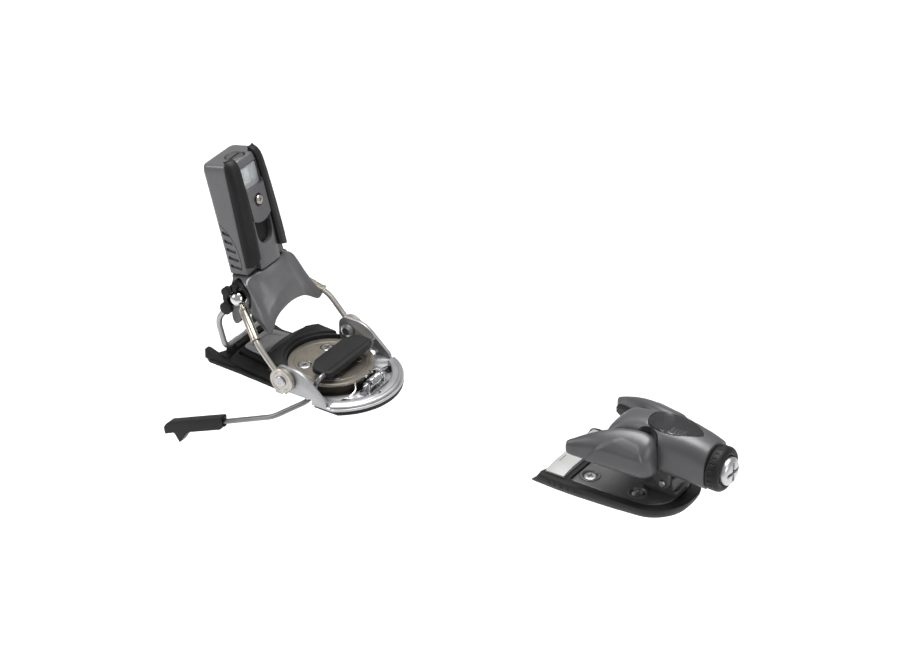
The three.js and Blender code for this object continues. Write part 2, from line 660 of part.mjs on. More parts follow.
function brakeArm(side) {
  const endZ = BRAKE_KNEE[1] + (BRAKE_WIRE_END_X - BRAKE_KNEE[0]) * -BRAKE_SLOPE;
  const corners = [vec(PEDAL_AXIS[0], 23, PEDAL_AXIS[1]), vec(PEDAL_AXIS[0], BRAKE_RISER_Y, PEDAL_AXIS[1]),
    vec(BRAKE_AXIS[0], BRAKE_RISER_Y, BRAKE_AXIS[1]), vec(BRAKE_AXIS[0] - 1, 39, BRAKE_AXIS[1] - 1.4),
    vec(BRAKE_KNEE[0], BRAKE_ARM_Y, BRAKE_KNEE[1]), vec(BRAKE_WIRE_END_X, TIP_Y, endZ)];
  return wire(corners.map((point) => point.setY(point.y * side)), BRAKE_WIRE_R, 3, 34, 8);
}

// The black snow claw on the end of a brake arm.
function brakeTip(side) {
  const line = (x) => BRAKE_KNEE[1] + (x - BRAKE_KNEE[0]) * -BRAKE_SLOPE;
  const profile = [[TIP_START_X, line(TIP_START_X) + 5], [TIP_END_X + 3, line(TIP_END_X) + 6],
    [TIP_END_X, line(TIP_END_X) + 2], [TIP_END_X + 1, line(TIP_END_X) - 4.5], [-99, line(-99) - 3.8],
    [-94, line(-94) - 13], [-87, line(-87) - 4.6], [TIP_START_X, line(TIP_START_X) - 4.8]];
  const body = sideSlab(profile, side * TIP_Y - 3.6, side * TIP_Y + 3.6);
  const socket = BRAKE_WIRE_R + GAP;
  const from = vec(-50, side * 51, line(-50));
  const to = vec(BRAKE_WIRE_END_X - 0.6, side * TIP_Y, line(BRAKE_WIRE_END_X - 0.6));
  return carve([body], [wire([from, to], socket, 0, 1, 12)]);
}

function brakePedal() {
  const plan = [[-2, -15], [-2, 15], [4, 24], [9, 27.5], [14.5, 25.5], [18.5, 17], [18.5, -17], [14.5, -25.5],
    [9, -27.5], [4, -24]];
  const pad = slab(plan, PEDAL_TOP - PEDAL_THICK, PEDAL_TOP);
  const bores = SIDES.map(([, side]) => crossBar(PEDAL_AXIS, BRAKE_WIRE_R + 0.15, side, 22, 60, 12));
  return carve([pad], bores);
}

// ---- Toe ----

function toeOutline(inset, backX) {
  const half = [[backX - 3.5, 34.8 - inset], [208, 36 - inset], [222, 36 - inset], [252, 34.6 - inset],
    [277, 32 - inset], [287.5, 27 - inset * 0.8], [294 - inset * 0.6, 18.5 - inset * 0.4], [298.2 - inset, 8]];
  const shape = [[backX, 24], ...half];
  return [...shape, ...shape.map(([x, y]) => [x, -y]).reverse()];
}

function toeBase() {
  const level = (inset, backX, z) => toeOutline(inset, backX).map(([x, y]) => vec(x, y, z));
  const rim = loft([level(3.2, 190, -TOE_RISE), level(0.4, 194.5, 3.4), level(0, 198, TOE_RIM)]);
  const well = toeOutline(6, 219).map(([x, y]) => [Math.max(x, 217), y]);
  const hollow = slab(well, TOE_FLOOR, 20);
  const slope = block([0, -60, 0], [120, 60, 20]).rotateY(0.035).translate(225, 0, TOE_RIM);
  const holes = TOE_SCREWS.map(([x, y]) => post(SCREW_SHANK_R + GAP, -5, 9, x, y, 16));
  return carve([rim], [hollow, slope, ...holes]);
}

function toePlate() {
  const plan = toeOutline(6.5, 219).map(([x, y]) => [Math.max(x, 217.4), y]);
  const holes = TOE_SCREWS.map(([x, y]) => screwHole(x, y, TOE_PLATE_TOP));
  return carve([slab(plan, TOE_FLOOR + GAP, TOE_PLATE_TOP)], holes);
}

function toePost() {
  const low = TOE_PLATE_TOP + GAP;
  const foot = block([262, -7.6, low], [289, 7.6, low + 4]);
  const web = [[264, low], [287, low], [285.5, 20], [282, 22.6], [276, 22.6]];
  return carve([foot, sideSlab(web, -7.6, 7.6)], [liftBore()]);
}

function liftBore() {
  const ring = new THREE.Shape().absarc(LIFT_AXIS[0], LIFT_AXIS[1], LIFT_PIN_R + GAP, 0, 2 * Math.PI);
  return sideSlab(ring, -20, 20, 10);
}

function liftPin() {
  const ring = new THREE.Shape().absarc(LIFT_AXIS[0], LIFT_AXIS[1], LIFT_PIN_R, 0, 2 * Math.PI);
  return sideSlab(ring, -12.6, 12.6, 10);
}

function toeSlice(x, halfWidth, low, high, squareness) {
  const place = (a, b) => vec(x, a, (low + high) / 2 + b);
  return roundedRing(place, halfWidth, (high - low) / 2, squareness, 20);
}

function windowOutline(grow) {
  const shape = new THREE.Shape();
  shape.moveTo(304 + grow, 0);
  shape.quadraticCurveTo(290, -13 - grow, 275, -11.5 - grow);
  shape.quadraticCurveTo(263.5 - grow, -10 - grow, 263.5 - grow, 0);
  shape.quadraticCurveTo(263.5 - grow, 10 + grow, 275, 11.5 + grow);
  shape.quadraticCurveTo(290, 13 + grow, 304 + grow, 0);
  return shape;
}

function toeHousing() {
  const body = loft([toeSlice(238, 8, 38, 51, 2.6), toeSlice(246, 11.5, 32, 57, 2.6),
    toeSlice(256, 12.6, 29, 60, 3), toeSlice(266, 13.5, 27.5, 60.8, 3), toeSlice(281, 17.5, 26.6, 61, 3),
    toeSlice(297, 16.4, 26, 59.9, 2.8), toeSlice(BEZEL_BACK - GAP, 15.4, 24.6, 55.8, 2.6)]);
  const lug = new THREE.Shape();
  lug.moveTo(LIFT_AXIS[0] + 4.8, 29);
  lug.lineTo(LIFT_AXIS[0] - 4.8, 29);
  lug.absarc(LIFT_AXIS[0], LIFT_AXIS[1], 4.8, Math.PI, 2 * Math.PI, false);
  const lugs = [sideSlab(lug, 8.1, 11.8, 10), sideSlab(lug, -11.8, -8.1, 10)];
  const alongX = (geometry) => geometry.rotateY(Math.PI / 2).translate(0, 0, BARREL_Z);
  const cuts = [
    alongX(post(TOE_BORE_R, 270, 330, 0, 0, 28)),
    slab(windowOutline(0.4), 46, 70, 6),
    liftBore(),
  ];
  for (const [, side] of SIDES) {
    cuts.push(post(WING_ROOT_R + 0.45, 20, 59.8, WING_PIVOT[0], side * WING_PIVOT[1], 28));
  }
  return carve([body, ...lugs], cuts);
}

// The smoked window: a teardrop block whose top follows the barrel's crown.
function toeWindow() {
  const crown = loft([toeSlice(258, 13, 50, 60.2, 3), toeSlice(281, 17, 50, 60.6, 3), toeSlice(310, 15, 50, 57.2, 2.8)]);
  const outside = carve([slab(windowOutline(60), 40, 80, 4)], [slab(windowOutline(0), 30, 90, 6)]);
  return carve([crown], [outside, block([250, -30, 40], [320, 30, 54.5])]);
}

// The indicator block that the adjuster draws along under the window.
function toeIndicator() {
  const flag = block([277, -6.5, 47.4], [288, 6.5, 52.6]);
  const stem = block([286, -1.1, 45.9], [TOE_NUT_X + 3.2, 1.1, 49.6]);
  const nut = turned([[3.2, 0], [8.3, 0], [8.3, 3.6], [3.2, 3.6], [3.2, 0]], 20).rotateY(Math.PI / 2);
  const grooves = [280, 284].map((x) => block([x, -8, 51.6], [x + 1, 8, 60]));
  return carve([flag, stem, nut.translate(TOE_NUT_X, 0, BARREL_Z)], grooves);
}

function toeBezel() {
  const profile = [[10.4, BEZEL_BACK], [15, BEZEL_BACK], [BEZEL_R, BEZEL_BACK + 1.5], [BEZEL_R, BEZEL_FRONT - 3],
    [BEZEL_R - 2.2, BEZEL_FRONT - 0.5], [13, BEZEL_FRONT], [10.4, BEZEL_FRONT - 0.4], [10.4, BEZEL_BACK]];
  return turned(profile, 28).rotateY(Math.PI / 2).translate(0, 0, BARREL_Z);
}

function toeAdjuster() {
  const profile = [[0, 288], [2.8, 288], [2.8, 315.6], [10, 315.6], [10, 326], [8.4, 328], [0, 328.8]];
  const slots = [block([326, -11, -0.7], [332, 11, 0.7]), block([326, -0.7, -11], [332, 0.7, 11])];
  const body = turned(profile, 24).rotateY(Math.PI / 2);
  return carve([body], slots).translate(0, 0, BARREL_Z);
}

function toeSpring() {
  return coil(6.5, 1.2, 271.8, 294.8, 4, 8).rotateY(Math.PI / 2).translate(0, 0, BARREL_Z);
}

function wingSlice(x, inner, outer, low, high) {
  const place = (a, b) => vec(x, (inner + outer) / 2 + a, (low + high) / 2 + b);
  return roundedRing(place, (outer - inner) / 2, (high - low) / 2, 2.8, 16);
}

function wing(side) {
  const root = turned([[0, 27.6], [WING_ROOT_R - 1, 27.6], [WING_ROOT_R, 28.6], [WING_ROOT_R, 54], [9.4, 57.4],
    [5.5, 59], [0, 59.3]], 28).translate(WING_PIVOT[0], WING_PIVOT[1], 0);
  const arm = loft([wingSlice(267, 13.9, 31.4, 27.8, 57.5), wingSlice(256, 13.6, 32.4, 28, 57.5),
    wingSlice(247, 15.5, 33.4, 28.8, 56.5), wingSlice(238, 20.4, 34, 29.8, 54), wingSlice(228, 25.5, 34.6, 30.8, 49),
    wingSlice(219.5, 29.9, 35.4, 31.8, 44), wingSlice(216.8, 31.3, 34.6, 33.4, 42)]);
  const solid = carve([root, arm]);
  return side > 0 ? solid : solid.scale(1, -1, 1);
}

// The black lining on a wing's inner face, which the boot's sole bears on.
function wingPad(side) {
  const strip = (x, inner, low, high) => [[inner - 3.2, low], [inner - 0.7, low], [inner - 0.7, high], [inner - 3.2, high]]
    .map(([y, z]) => vec(x, side * y, z));
  return loft([strip(244, 17, 33, 46), strip(235, 21.5, 33, 43), strip(226, 26, 33.5, 40.5), strip(219.5, 29.4, 34, 38.5)]);
}

function afdPlate() {
  const low = TOE_RIM + GAP;
  const profile = [[-AFD_HALF_WIDTH, low], [AFD_HALF_WIDTH, low], [AFD_HALF_WIDTH, low + 1.4], [22, low + 2.9],
    [-22, low + 2.9], [-AFD_HALF_WIDTH, low + 1.4]];
  return slab(profile.map(([y, z]) => [-z, y]), 199, 213.5).rotateY(Math.PI / 2);
}

// ---- Assembly ----

piece('mounting_disc', mountingDisc(), champagne);
HEEL_SCREWS.forEach(([x, y], i) => {
  piece(`heel_screw_${i + 1}`, skiScrew(DISC_TOP), steel).position.set(x, y, 0);
});
piece('heel_base', heelBase(), black);
piece('heel_pad', heelPad(), black);
piece('turntable_frame', turntableFrame(), silver);
piece('brake_plate', brakePlate(), silver);
piece('brake_bracket', brakeBracket(), chrome);
piece('brake_spring', brakeSpring(), steel);
piece('stirrup_bridge', stirrupBridge(), silver);
piece('heel_stirrup', heelStirrup(), silver);
piece('pivot_axle', pivotAxle(), steel);
piece('brake_pedal', brakePedal(), black);
for (const [name, side] of SIDES) {
  piece(`arm_rod_${name}`, armRod(side), champagne);
  piece(`arm_sleeve_${name}`, armSleeve(side), champagne);
  piece(`arm_rivet_${name}`, armRivet(side), steel);
  piece(`trunnion_${name}`, trunnion(side), chrome);
  piece(`forward_screw_${name}`, forwardScrew(side), champagne);
  piece(`knuckle_${name}`, knuckle(side), black, head);
  piece(`rail_${name}`, rail(side), black, head);
  piece(`brake_arm_${name}`, brakeArm(side), steel);
  piece(`brake_tip_${name}`, brakeTip(side), black);
  piece(`wing_${name}`, wing(side), graphite, toe);
  piece(`wing_pad_${name}`, wingPad(side), black, toe);
}
piece('heel_housing', heelHousing(), graphite, head);
piece('heel_cup', heelCup(), graphite, head);
piece('heel_window', heelWindow(), clear, head);
piece('heel_indicator', heelIndicator(), silver, head);
piece('heel_adjuster', heelAdjuster(), darkMetal, head);
piece('heel_spring', heelSpring(), steel, head);
piece('heel_piston', heelPiston(), steel, head);
piece('cover_screw', coverScrew(), steel, head);

piece('toe_base', toeBase(), black, toe);
piece('toe_plate', toePlate(), darkMetal, toe);
TOE_SCREWS.forEach(([x, y], i) => {
  piece(`toe_screw_${i + 1}`, skiScrew(TOE_PLATE_TOP), steel, toe).position.set(x, y, 0);
});
piece('toe_post', toePost(), darkMetal, toe);
piece('toe_lift_pin', liftPin(), steel, toe);
piece('toe_housing', toeHousing(), graphite, toe);
piece('toe_window', toeWindow(), smoked, toe);
piece('toe_indicator', toeIndicator(), silver, toe);
piece('toe_bezel', toeBezel(), black, toe);
piece('toe_adjuster', toeAdjuster(), silver, toe);
piece('toe_spring', toeSpring(), steel, toe);
piece('afd_plate', afdPlate(), pale, toe);

export default binding;
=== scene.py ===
"""The looks of a step-in alpine ski binding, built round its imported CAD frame.

Lengths are written in millimetres in the row frame and turned into metres by mm() or by SCALE:
+X runs from the heel to the toe, +Y to the skier's left, +Z up from the ski.
"""

import json
import math

import bmesh
import bpy
from mathutils import Matrix, Vector


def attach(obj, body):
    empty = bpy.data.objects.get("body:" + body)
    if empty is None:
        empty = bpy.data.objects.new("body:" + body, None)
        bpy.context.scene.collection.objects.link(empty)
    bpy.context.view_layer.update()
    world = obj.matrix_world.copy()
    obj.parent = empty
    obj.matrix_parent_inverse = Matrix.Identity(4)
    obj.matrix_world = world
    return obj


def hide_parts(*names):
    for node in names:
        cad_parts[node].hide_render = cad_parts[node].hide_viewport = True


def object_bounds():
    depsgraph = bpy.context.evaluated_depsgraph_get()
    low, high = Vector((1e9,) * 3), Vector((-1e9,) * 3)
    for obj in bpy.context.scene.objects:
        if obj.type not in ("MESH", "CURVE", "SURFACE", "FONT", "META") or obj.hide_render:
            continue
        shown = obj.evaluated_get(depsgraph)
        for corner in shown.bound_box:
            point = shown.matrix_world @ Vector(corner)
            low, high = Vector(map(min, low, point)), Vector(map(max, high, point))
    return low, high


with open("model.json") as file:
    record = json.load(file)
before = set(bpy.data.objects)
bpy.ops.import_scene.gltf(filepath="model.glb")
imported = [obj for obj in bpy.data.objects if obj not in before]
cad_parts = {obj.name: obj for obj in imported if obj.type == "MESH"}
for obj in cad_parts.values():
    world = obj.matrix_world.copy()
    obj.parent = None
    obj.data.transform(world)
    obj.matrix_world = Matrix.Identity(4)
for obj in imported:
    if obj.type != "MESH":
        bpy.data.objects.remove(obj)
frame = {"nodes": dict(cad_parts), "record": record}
CAD_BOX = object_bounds()

SCALE = 0.001
SIDES = (("right", -1), ("left", 1))

# ---- Driving dimensions, the same as the CAD's ----

HEEL_RISE = 2.5
TOE_RISE = 1.2
HEAD_ORIGIN = (-51.4, 67.5)
HEAD_PIVOT = (-60.0, 57.0)
HEAD_LEAN = math.radians(-11)
ARM_BEND = (-31.9, 35.8)
ARM_BEND_Y = 43.0
EAR_PIVOT = (-11.5, 14.5)
EAR_OUT = 40.6
STIRRUP_TOP = (-66.5, 51)
STIRRUP_KNEE = (-80.4, 31.8)
STIRRUP_FOOT = (-74.3, 9.6)
FRONT_X = 5.0
FRONT_R = 47.0
DISC_TOP = 12
BRAKE_LOW = 2.8
BRAKE_PIN = (36.4, 8.8)
PEDAL_HINGE = (13, 19.2)
BRAKE_KNEE = (-15.3, -13.4)
CLAW_SLOPE = 0.434
BALL_Y = 26.4
BARREL_Z = 37.8
FRONT_TILT = -0.075
POCKET_U = 32
TOE_PLATE_TOP = 7.2
TOE_PIVOT = (280, 18)
COVER_SCREW_U = 57.0
SPRING_F = -11.6
HEEL_SCREWS = ((-13, -14), (-13, 14), (13, -14), (13, 14))
TOE_SCREWS = ((225.5, -16), (225.5, 16), (264, -16.5), (264, 16.5))


def mm(x, y, z):
    return Vector((x, y, z)) * SCALE


# ---- Mesh building ----

IDENTITY = Matrix.Identity(4)
HEEL = Matrix.Translation(Vector((0, 0, HEEL_RISE)))
TOE = Matrix.Translation(Vector((0, 0, TOE_RISE)))
HEAD_PLACE = Matrix.Translation(Vector((HEAD_ORIGIN[0], 0, HEAD_ORIGIN[1])))
HEAD = HEEL @ HEAD_PLACE @ Matrix.Rotation(HEAD_LEAN, 4, "Y")
ALONG_Y = Matrix.Rotation(-math.pi / 2, 4, "X")
ALONG_X = Matrix.Rotation(math.pi / 2, 4, "Y")


def add(name, bm):
    """Links a bmesh made in millimetres as an object in metres, with its faces turned outwards."""
    bmesh.ops.remove_doubles(bm, verts=bm.verts, dist=1e-4)
    bmesh.ops.recalc_face_normals(bm, faces=bm.faces)
    bmesh.ops.scale(bm, vec=(SCALE, SCALE, SCALE), verts=bm.verts)
    mesh = bpy.data.meshes.new(name)
    bm.to_mesh(mesh)
    bm.free()
    piece = bpy.data.objects.new(name, mesh)
    bpy.context.scene.collection.objects.link(piece)
    return piece


def loft(name, rings, place=IDENTITY, closed=False):
    """A skin over rings of points, capped at both ends, or joined end to end when closed."""
    bm = bmesh.new()
    rows = [[bm.verts.new(place @ Vector(point)) for point in ring] for ring in rings]
    count = len(rows[0])
    pairs = list(zip(rows, rows[1:]))
    if closed:
        pairs.append((rows[-1], rows[0]))
    for low, high in pairs:
        for i in range(count):
            j = (i + 1) % count
            bm.faces.new((low[i], low[j], high[j], high[i]))
    if not closed:
        bm.faces.new(rows[0])
        bm.faces.new(rows[-1])
    return add(name, bm)


def turned(name, profile, place=IDENTITY, sides=64):
    """A solid turned about local Z from (radius, height) pairs. Equal ends make a ring."""
    bm = bmesh.new()
    ringlike = profile[0] == profile[-1]
    points = profile[:-1] if ringlike else profile
    rows = []
    for radius, height in points:
        if radius < 1e-6:
            rows.append([bm.verts.new(place @ Vector((0, 0, height)))])
            continue
        angles = [2 * math.pi * i / sides for i in range(sides)]
        rows.append([bm.verts.new(place @ Vector((radius * math.cos(a), radius * math.sin(a), height)))
                     for a in angles])
    pairs = list(zip(rows, rows[1:]))
    if ringlike:
        pairs.append((rows[-1], rows[0]))
    for low, high in pairs:
        for i in range(sides):
            j = (i + 1) % sides
            corners = [low[i % len(low)], low[j % len(low)], high[j % len(high)], high[i % len(high)]]
            unique = list(dict.fromkeys(corners))
            if len(unique) > 2:
                bm.faces.new(unique)
    return add(name, bm)


def bar(name, radius, low, high, place=IDENTITY, sides=64):
    """A round bar along local Z."""
    return turned(name, rectangle(0, low, radius, high), place, sides)


def slab(name, outline, low, high, place=IDENTITY):
    """An outline in the local XY plane, raised from low to high."""
    bm = bmesh.new()
    floor = [bm.verts.new(place @ Vector((x, y, low))) for x, y in outline]
    roof = [bm.verts.new(place @ Vector((x, y, high))) for x, y in outline]
    bm.faces.new(floor)
    bm.faces.new(roof)
    for i in range(len(outline)):
        j = (i + 1) % len(outline)
        bm.faces.new((floor[i], floor[j], roof[j], roof[i]))
    return add(name, bm)


def side_slab(name, outline, from_y, to_y, place=IDENTITY):
    """An (x, z) outline raised along Y."""
    turn = place @ Matrix(((1, 0, 0, 0), (0, 0, 1, 0), (0, 1, 0, 0), (0, 0, 0, 1)))
    return slab(name, outline, min(from_y, to_y), max(from_y, to_y), turn)


def front_slab(name, outline, from_x, to_x, place=IDENTITY):
    """A (y, z) outline raised along X."""
    turn = place @ Matrix(((0, 0, 1, 0), (1, 0, 0, 0), (0, 1, 0, 0), (0, 0, 0, 1)))
    return slab(name, outline, from_x, to_x, turn)


def arc(x, y, radius, start, end, steps=24):
    """Points on an arc, with its angles in degrees."""
    angles = [math.radians(start + (end - start) * i / steps) for i in range(steps + 1)]
    return [(x + radius * math.cos(a), y + radius * math.sin(a)) for a in angles]


def rounded(outline, radius, steps=6):
    """A closed outline with each corner rounded. A corner (x, y, r) has its own radius."""
    result = []
    count = len(outline)
    for i, corner in enumerate(outline):
        here = Vector(corner[:2])
        size = corner[2] if len(corner) > 2 else radius
        before = Vector(outline[i - 1][:2]) - here
        after = Vector(outline[(i + 1) % count][:2]) - here
        reach = min(size, before.length * 0.48, after.length * 0.48)
        if reach < 0.02:
            result.append(tuple(here))
            continue
        start, end = here + before.normalized() * reach, here + after.normalized() * reach
        for k in range(steps + 1):
            t = k / steps
            point = start * (1 - t) ** 2 + here * 2 * t * (1 - t) + end * t * t
            result.append(tuple(point))
    return result


def spline(points, steps=6, closed=False):
    """Points of a Catmull-Rom curve through the given ones. Works for tuples of any length."""
    points = [Vector(p) for p in points]
    count = len(points)
    spans = count if closed else count - 1
    result = []
    for i in range(spans):
        if closed:
            p = [points[(i + k) % count] for k in (-1, 0, 1, 2)]
        else:
            p = [points[min(max(i + k, 0), count - 1)] for k in (-1, 0, 1, 2)]
        for k in range(steps):
            t = k / steps
            result.append(0.5 * (2 * p[1] + (p[2] - p[0]) * t
                                 + (2 * p[0] - 5 * p[1] + 4 * p[2] - p[3]) * t * t
                                 + (3 * p[1] - p[0] - 3 * p[2] + p[3]) * t ** 3))
    if not closed:
        result.append(points[-1])
    return result


def smooth_rings(rings, steps=4):
    """More rings between the given ones, so that the skin runs smoothly through them."""
    columns = [spline(column, steps) for column in zip(*rings)]
    return [list(ring) for ring in zip(*columns)]


def rounded_path(corners, bend, steps=8):
    """A line through corners in space, with each bend rounded."""
    corners = [Vector(c) for c in corners]
    path = [corners[0]]
    for before, here, after in zip(corners, corners[1:], corners[2:]):
        back, on = before - here, after - here
        reach = min(bend, back.length * 0.45, on.length * 0.45)
        start, end = here + back.normalized() * reach, here + on.normalized() * reach
        for k in range(steps + 1):
            t = k / steps
            path.append(start * (1 - t) ** 2 + here * 2 * t * (1 - t) + end * t * t)
    path.append(corners[-1])
    return path


def sweep(name, path, section, start_up=Vector((0, 1, 0))):
    """A section of (across, up) pairs carried along a path without twist. Its ends are slightly chamfered."""
    path = [Vector(p) for p in path]
    tangents = [(path[min(i + 1, len(path) - 1)] - path[max(i - 1, 0)]).normalized()
                for i in range(len(path))]
    if abs(start_up.normalized().dot(tangents[0])) > 0.95:
        start_up = Vector((0, 0, 1))
    up = (start_up - tangents[0] * start_up.dot(tangents[0])).normalized()
    rings = []
    for i, (point, tangent) in enumerate(zip(path, tangents)):
        up = (up - tangent * up.dot(tangent)).normalized()
        across = tangent.cross(up)
        ring = [point + across * a + up * b for a, b in section]
        if i == 0:
            rings.append([p + (point - p) * 0.15 for p in ring])
            ring = [p + tangent * 0.3 for p in ring]
        if i == len(path) - 1:
            rings.append([p - tangent * 0.3 for p in ring])
            ring = [p + (point - p) * 0.15 for p in ring]
        rings.append(ring)
    return loft(name, rings)


def circle(radius, sides=20):
    return [(radius * math.cos(2 * math.pi * i / sides), radius * math.sin(2 * math.pi * i / sides))
            for i in range(sides)]


def squircle(half_a, half_b, power, count=40, under=None):
    """Points round a rounded rectangle, squarer with a higher power. The lower half can have its own."""
    points = []
    for i in range(count):
        angle = 2 * math.pi * i / count
        c, s = math.cos(angle), math.sin(angle)
        p = under if under and s < 0 else power
        points.append((half_a * math.copysign(abs(c) ** (2 / p), c),
                       half_b * math.copysign(abs(s) ** (2 / p), s)))
    return points


def rectangle(from_x, from_y, to_x, to_y):
    return [(from_x, from_y), (to_x, from_y), (to_x, to_y), (from_x, to_y)]


def mirror_outline(half):
    """An outline in x and y, closed by its own mirror image in y."""
    return half + [(x, -y) for x, y in reversed(half)]


def round_profile(radius, step):
    """A ball's profile for turned(), with a point every step degrees."""
    angles = [math.radians(a) for a in range(-88, 89, step)]
    return [(0, -radius)] + [(radius * math.cos(a), radius * math.sin(a)) for a in angles] + [(0, radius)]


def coil(name, radius, wire_radius, low, high, turns, place=IDENTITY, per_turn=28):
    count = turns * per_turn
    path = []
    for i in range(count + 1):
        angle = 2 * math.pi * i / per_turn
        point = Vector((radius * math.cos(angle), radius * math.sin(angle), low + (high - low) * i / count))
        path.append(place @ point)
    return sweep(name, path, circle(wire_radius, 10), place.to_3x3() @ Vector((0, 0, 1)))


def applied(piece):
    """Bakes the piece's modifiers into its mesh."""
    graph = bpy.context.evaluated_depsgraph_get()
    mesh = bpy.data.meshes.new_from_object(piece.evaluated_get(graph))
    old = piece.data
    piece.modifiers.clear()
    piece.data = mesh
    bpy.data.meshes.remove(old)
    return piece


def combine(piece, others, operation):
    """Joins the others to the piece, or cuts them from it, and removes them."""
    for other in others:
        step = piece.modifiers.new(operation, "BOOLEAN")
        step.operation = operation
        step.solver = "EXACT"
        step.object = other
    applied(piece)
    for other in others:
        mesh = other.data
        bpy.data.objects.remove(other)
        bpy.data.meshes.remove(mesh)
    return piece


def cut(piece, *cutters):
    return combine(piece, cutters, "DIFFERENCE")


def joined(piece, *others):
    return combine(piece, others, "UNION")


def soften(piece, width=0.3, segments=2, angle=30):
    """Rounds the piece's edges that are sharper than angle."""
    bevel = piece.modifiers.new("edges", "BEVEL")
    bevel.width = width * SCALE
    bevel.segments = segments
    bevel.limit_method = "ANGLE"
    bevel.angle_limit = math.radians(angle)
    bevel.use_clamp_overlap = True
    bevel.miter_outer = "MITER_ARC"
    return applied(piece)


def shade(mesh, angle=32):
    mesh.shade_smooth()
    mesh.set_sharp_from_angle(angle=math.radians(angle))


def wear(piece, look, body, replaces=(), angle=32):
    """Gives a finished piece its material and its CAD body, and hides the CAD nodes that it stands for."""
    shade(piece.data, angle)
    piece.data.materials.clear()
    piece.data.materials.append(look)
    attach(piece, body)
    if replaces:
        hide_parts(*replaces)
    return piece


# ---- Materials ----

def node_material(name):
    material = bpy.data.materials.new(name)
    material.use_nodes = True
    shader = material.node_tree.nodes["Principled BSDF"]
    place = material.node_tree.nodes.new("ShaderNodeTexCoord")
    return material, shader, place.outputs["Object"]


def add_node(material, kind, **values):
    node = material.node_tree.nodes.new(kind)
    for key, value in values.items():
        if hasattr(node, key):
            setattr(node, key, value)
        else:
            node.inputs[key.replace("_", " ")].default_value = value
    return node


def noise(material, place, scale, detail=3.0, stretch=None):
    """Noise whose grains are about 1/scale metres, stretched along an axis by stretch."""
    links = material.node_tree.links
    if stretch:
        mapping = add_node(material, "ShaderNodeMapping")
        mapping.inputs["Scale"].default_value = stretch
        links.new(place, mapping.inputs["Vector"])
        place = mapping.outputs["Vector"]
    node = add_node(material, "ShaderNodeTexNoise", Scale=scale, Detail=detail)
    links.new(place, node.inputs["Vector"])
    return node.outputs["Fac"]


def ramp(material, value, stops):
    """A colour ramp from (position, grey or colour) stops."""
    node = add_node(material, "ShaderNodeValToRGB")
    elements = node.color_ramp.elements
    while len(elements) < len(stops):
        elements.new(0.5)
    for element, (position, colour) in zip(elements, stops):
        element.position = position
        colour = (colour,) * 3 if isinstance(colour, (int, float)) else colour
        element.color = (*colour, 1)
    material.node_tree.links.new(value, node.inputs["Fac"])
    return node.outputs["Color"]


def bump(material, shader, height, strength, distance):
    node = add_node(material, "ShaderNodeBump")
    node.inputs["Strength"].default_value = strength
    node.inputs["Distance"].default_value = distance
    material.node_tree.links.new(height, node.inputs["Height"])
    material.node_tree.links.new(node.outputs["Normal"], shader.inputs["Normal"])


GRAIN_SHARE = 0.45


def grained(name, dark, light, rough, metallic=0.0, grain=900, depth=0.00003, strength=0.3,
            patch=35, coat=0.0, stretch=None, specular=0.5):
    """Paint, plastic or metal with a fine grain, faint patches of tone, and uneven gloss."""
    material, shader, place = node_material(name)
    links = material.node_tree.links
    fine = noise(material, place, grain, 2.0, stretch)
    broad = noise(material, place, patch, 4.0)
    mix = add_node(material, "ShaderNodeMath", operation="MULTIPLY_ADD")
    links.new(fine, mix.inputs[0])
    mix.inputs[1].default_value = GRAIN_SHARE
    links.new(broad, mix.inputs[2])
    links.new(ramp(material, mix.outputs[0], [(0.42, dark), (0.95, light)]), shader.inputs["Base Color"])
    links.new(ramp(material, mix.outputs[0], [(0.4, rough[0]), (1.0, rough[1])]), shader.inputs["Roughness"])
    shader.inputs["Metallic"].default_value = metallic
    shader.inputs["Specular IOR Level"].default_value = specular
    shader.inputs["Coat Weight"].default_value = coat
    shader.inputs["Coat Roughness"].default_value = 0.25
    bump(material, shader, fine, strength, depth)
    return material


def clear_plastic(name, tint, rough, alpha):
    """A transparent moulded window with faint haze and fine scratches."""
    material, shader, place = node_material(name)
    links = material.node_tree.links
    haze = noise(material, place, 60, 4.0)
    scratch = noise(material, place, 500, 2.0, (0.15, 1.0, 1.0))
    links.new(ramp(material, haze, [(0.35, tint), (0.7, [min(1, c * 1.15) for c in tint])]),
              shader.inputs["Base Color"])
    links.new(ramp(material, scratch, [(0.45, rough), (0.8, rough + 0.08)]), shader.inputs["Roughness"])
    links.new(ramp(material, haze, [(0.3, alpha - 0.05), (0.75, alpha + 0.04)]), shader.inputs["Alpha"])
    shader.inputs["Coat Weight"].default_value = 0.6
    shader.inputs["Coat Roughness"].default_value = 0.05
    bump(material, shader, scratch, 0.02, 0.00001)
    return material


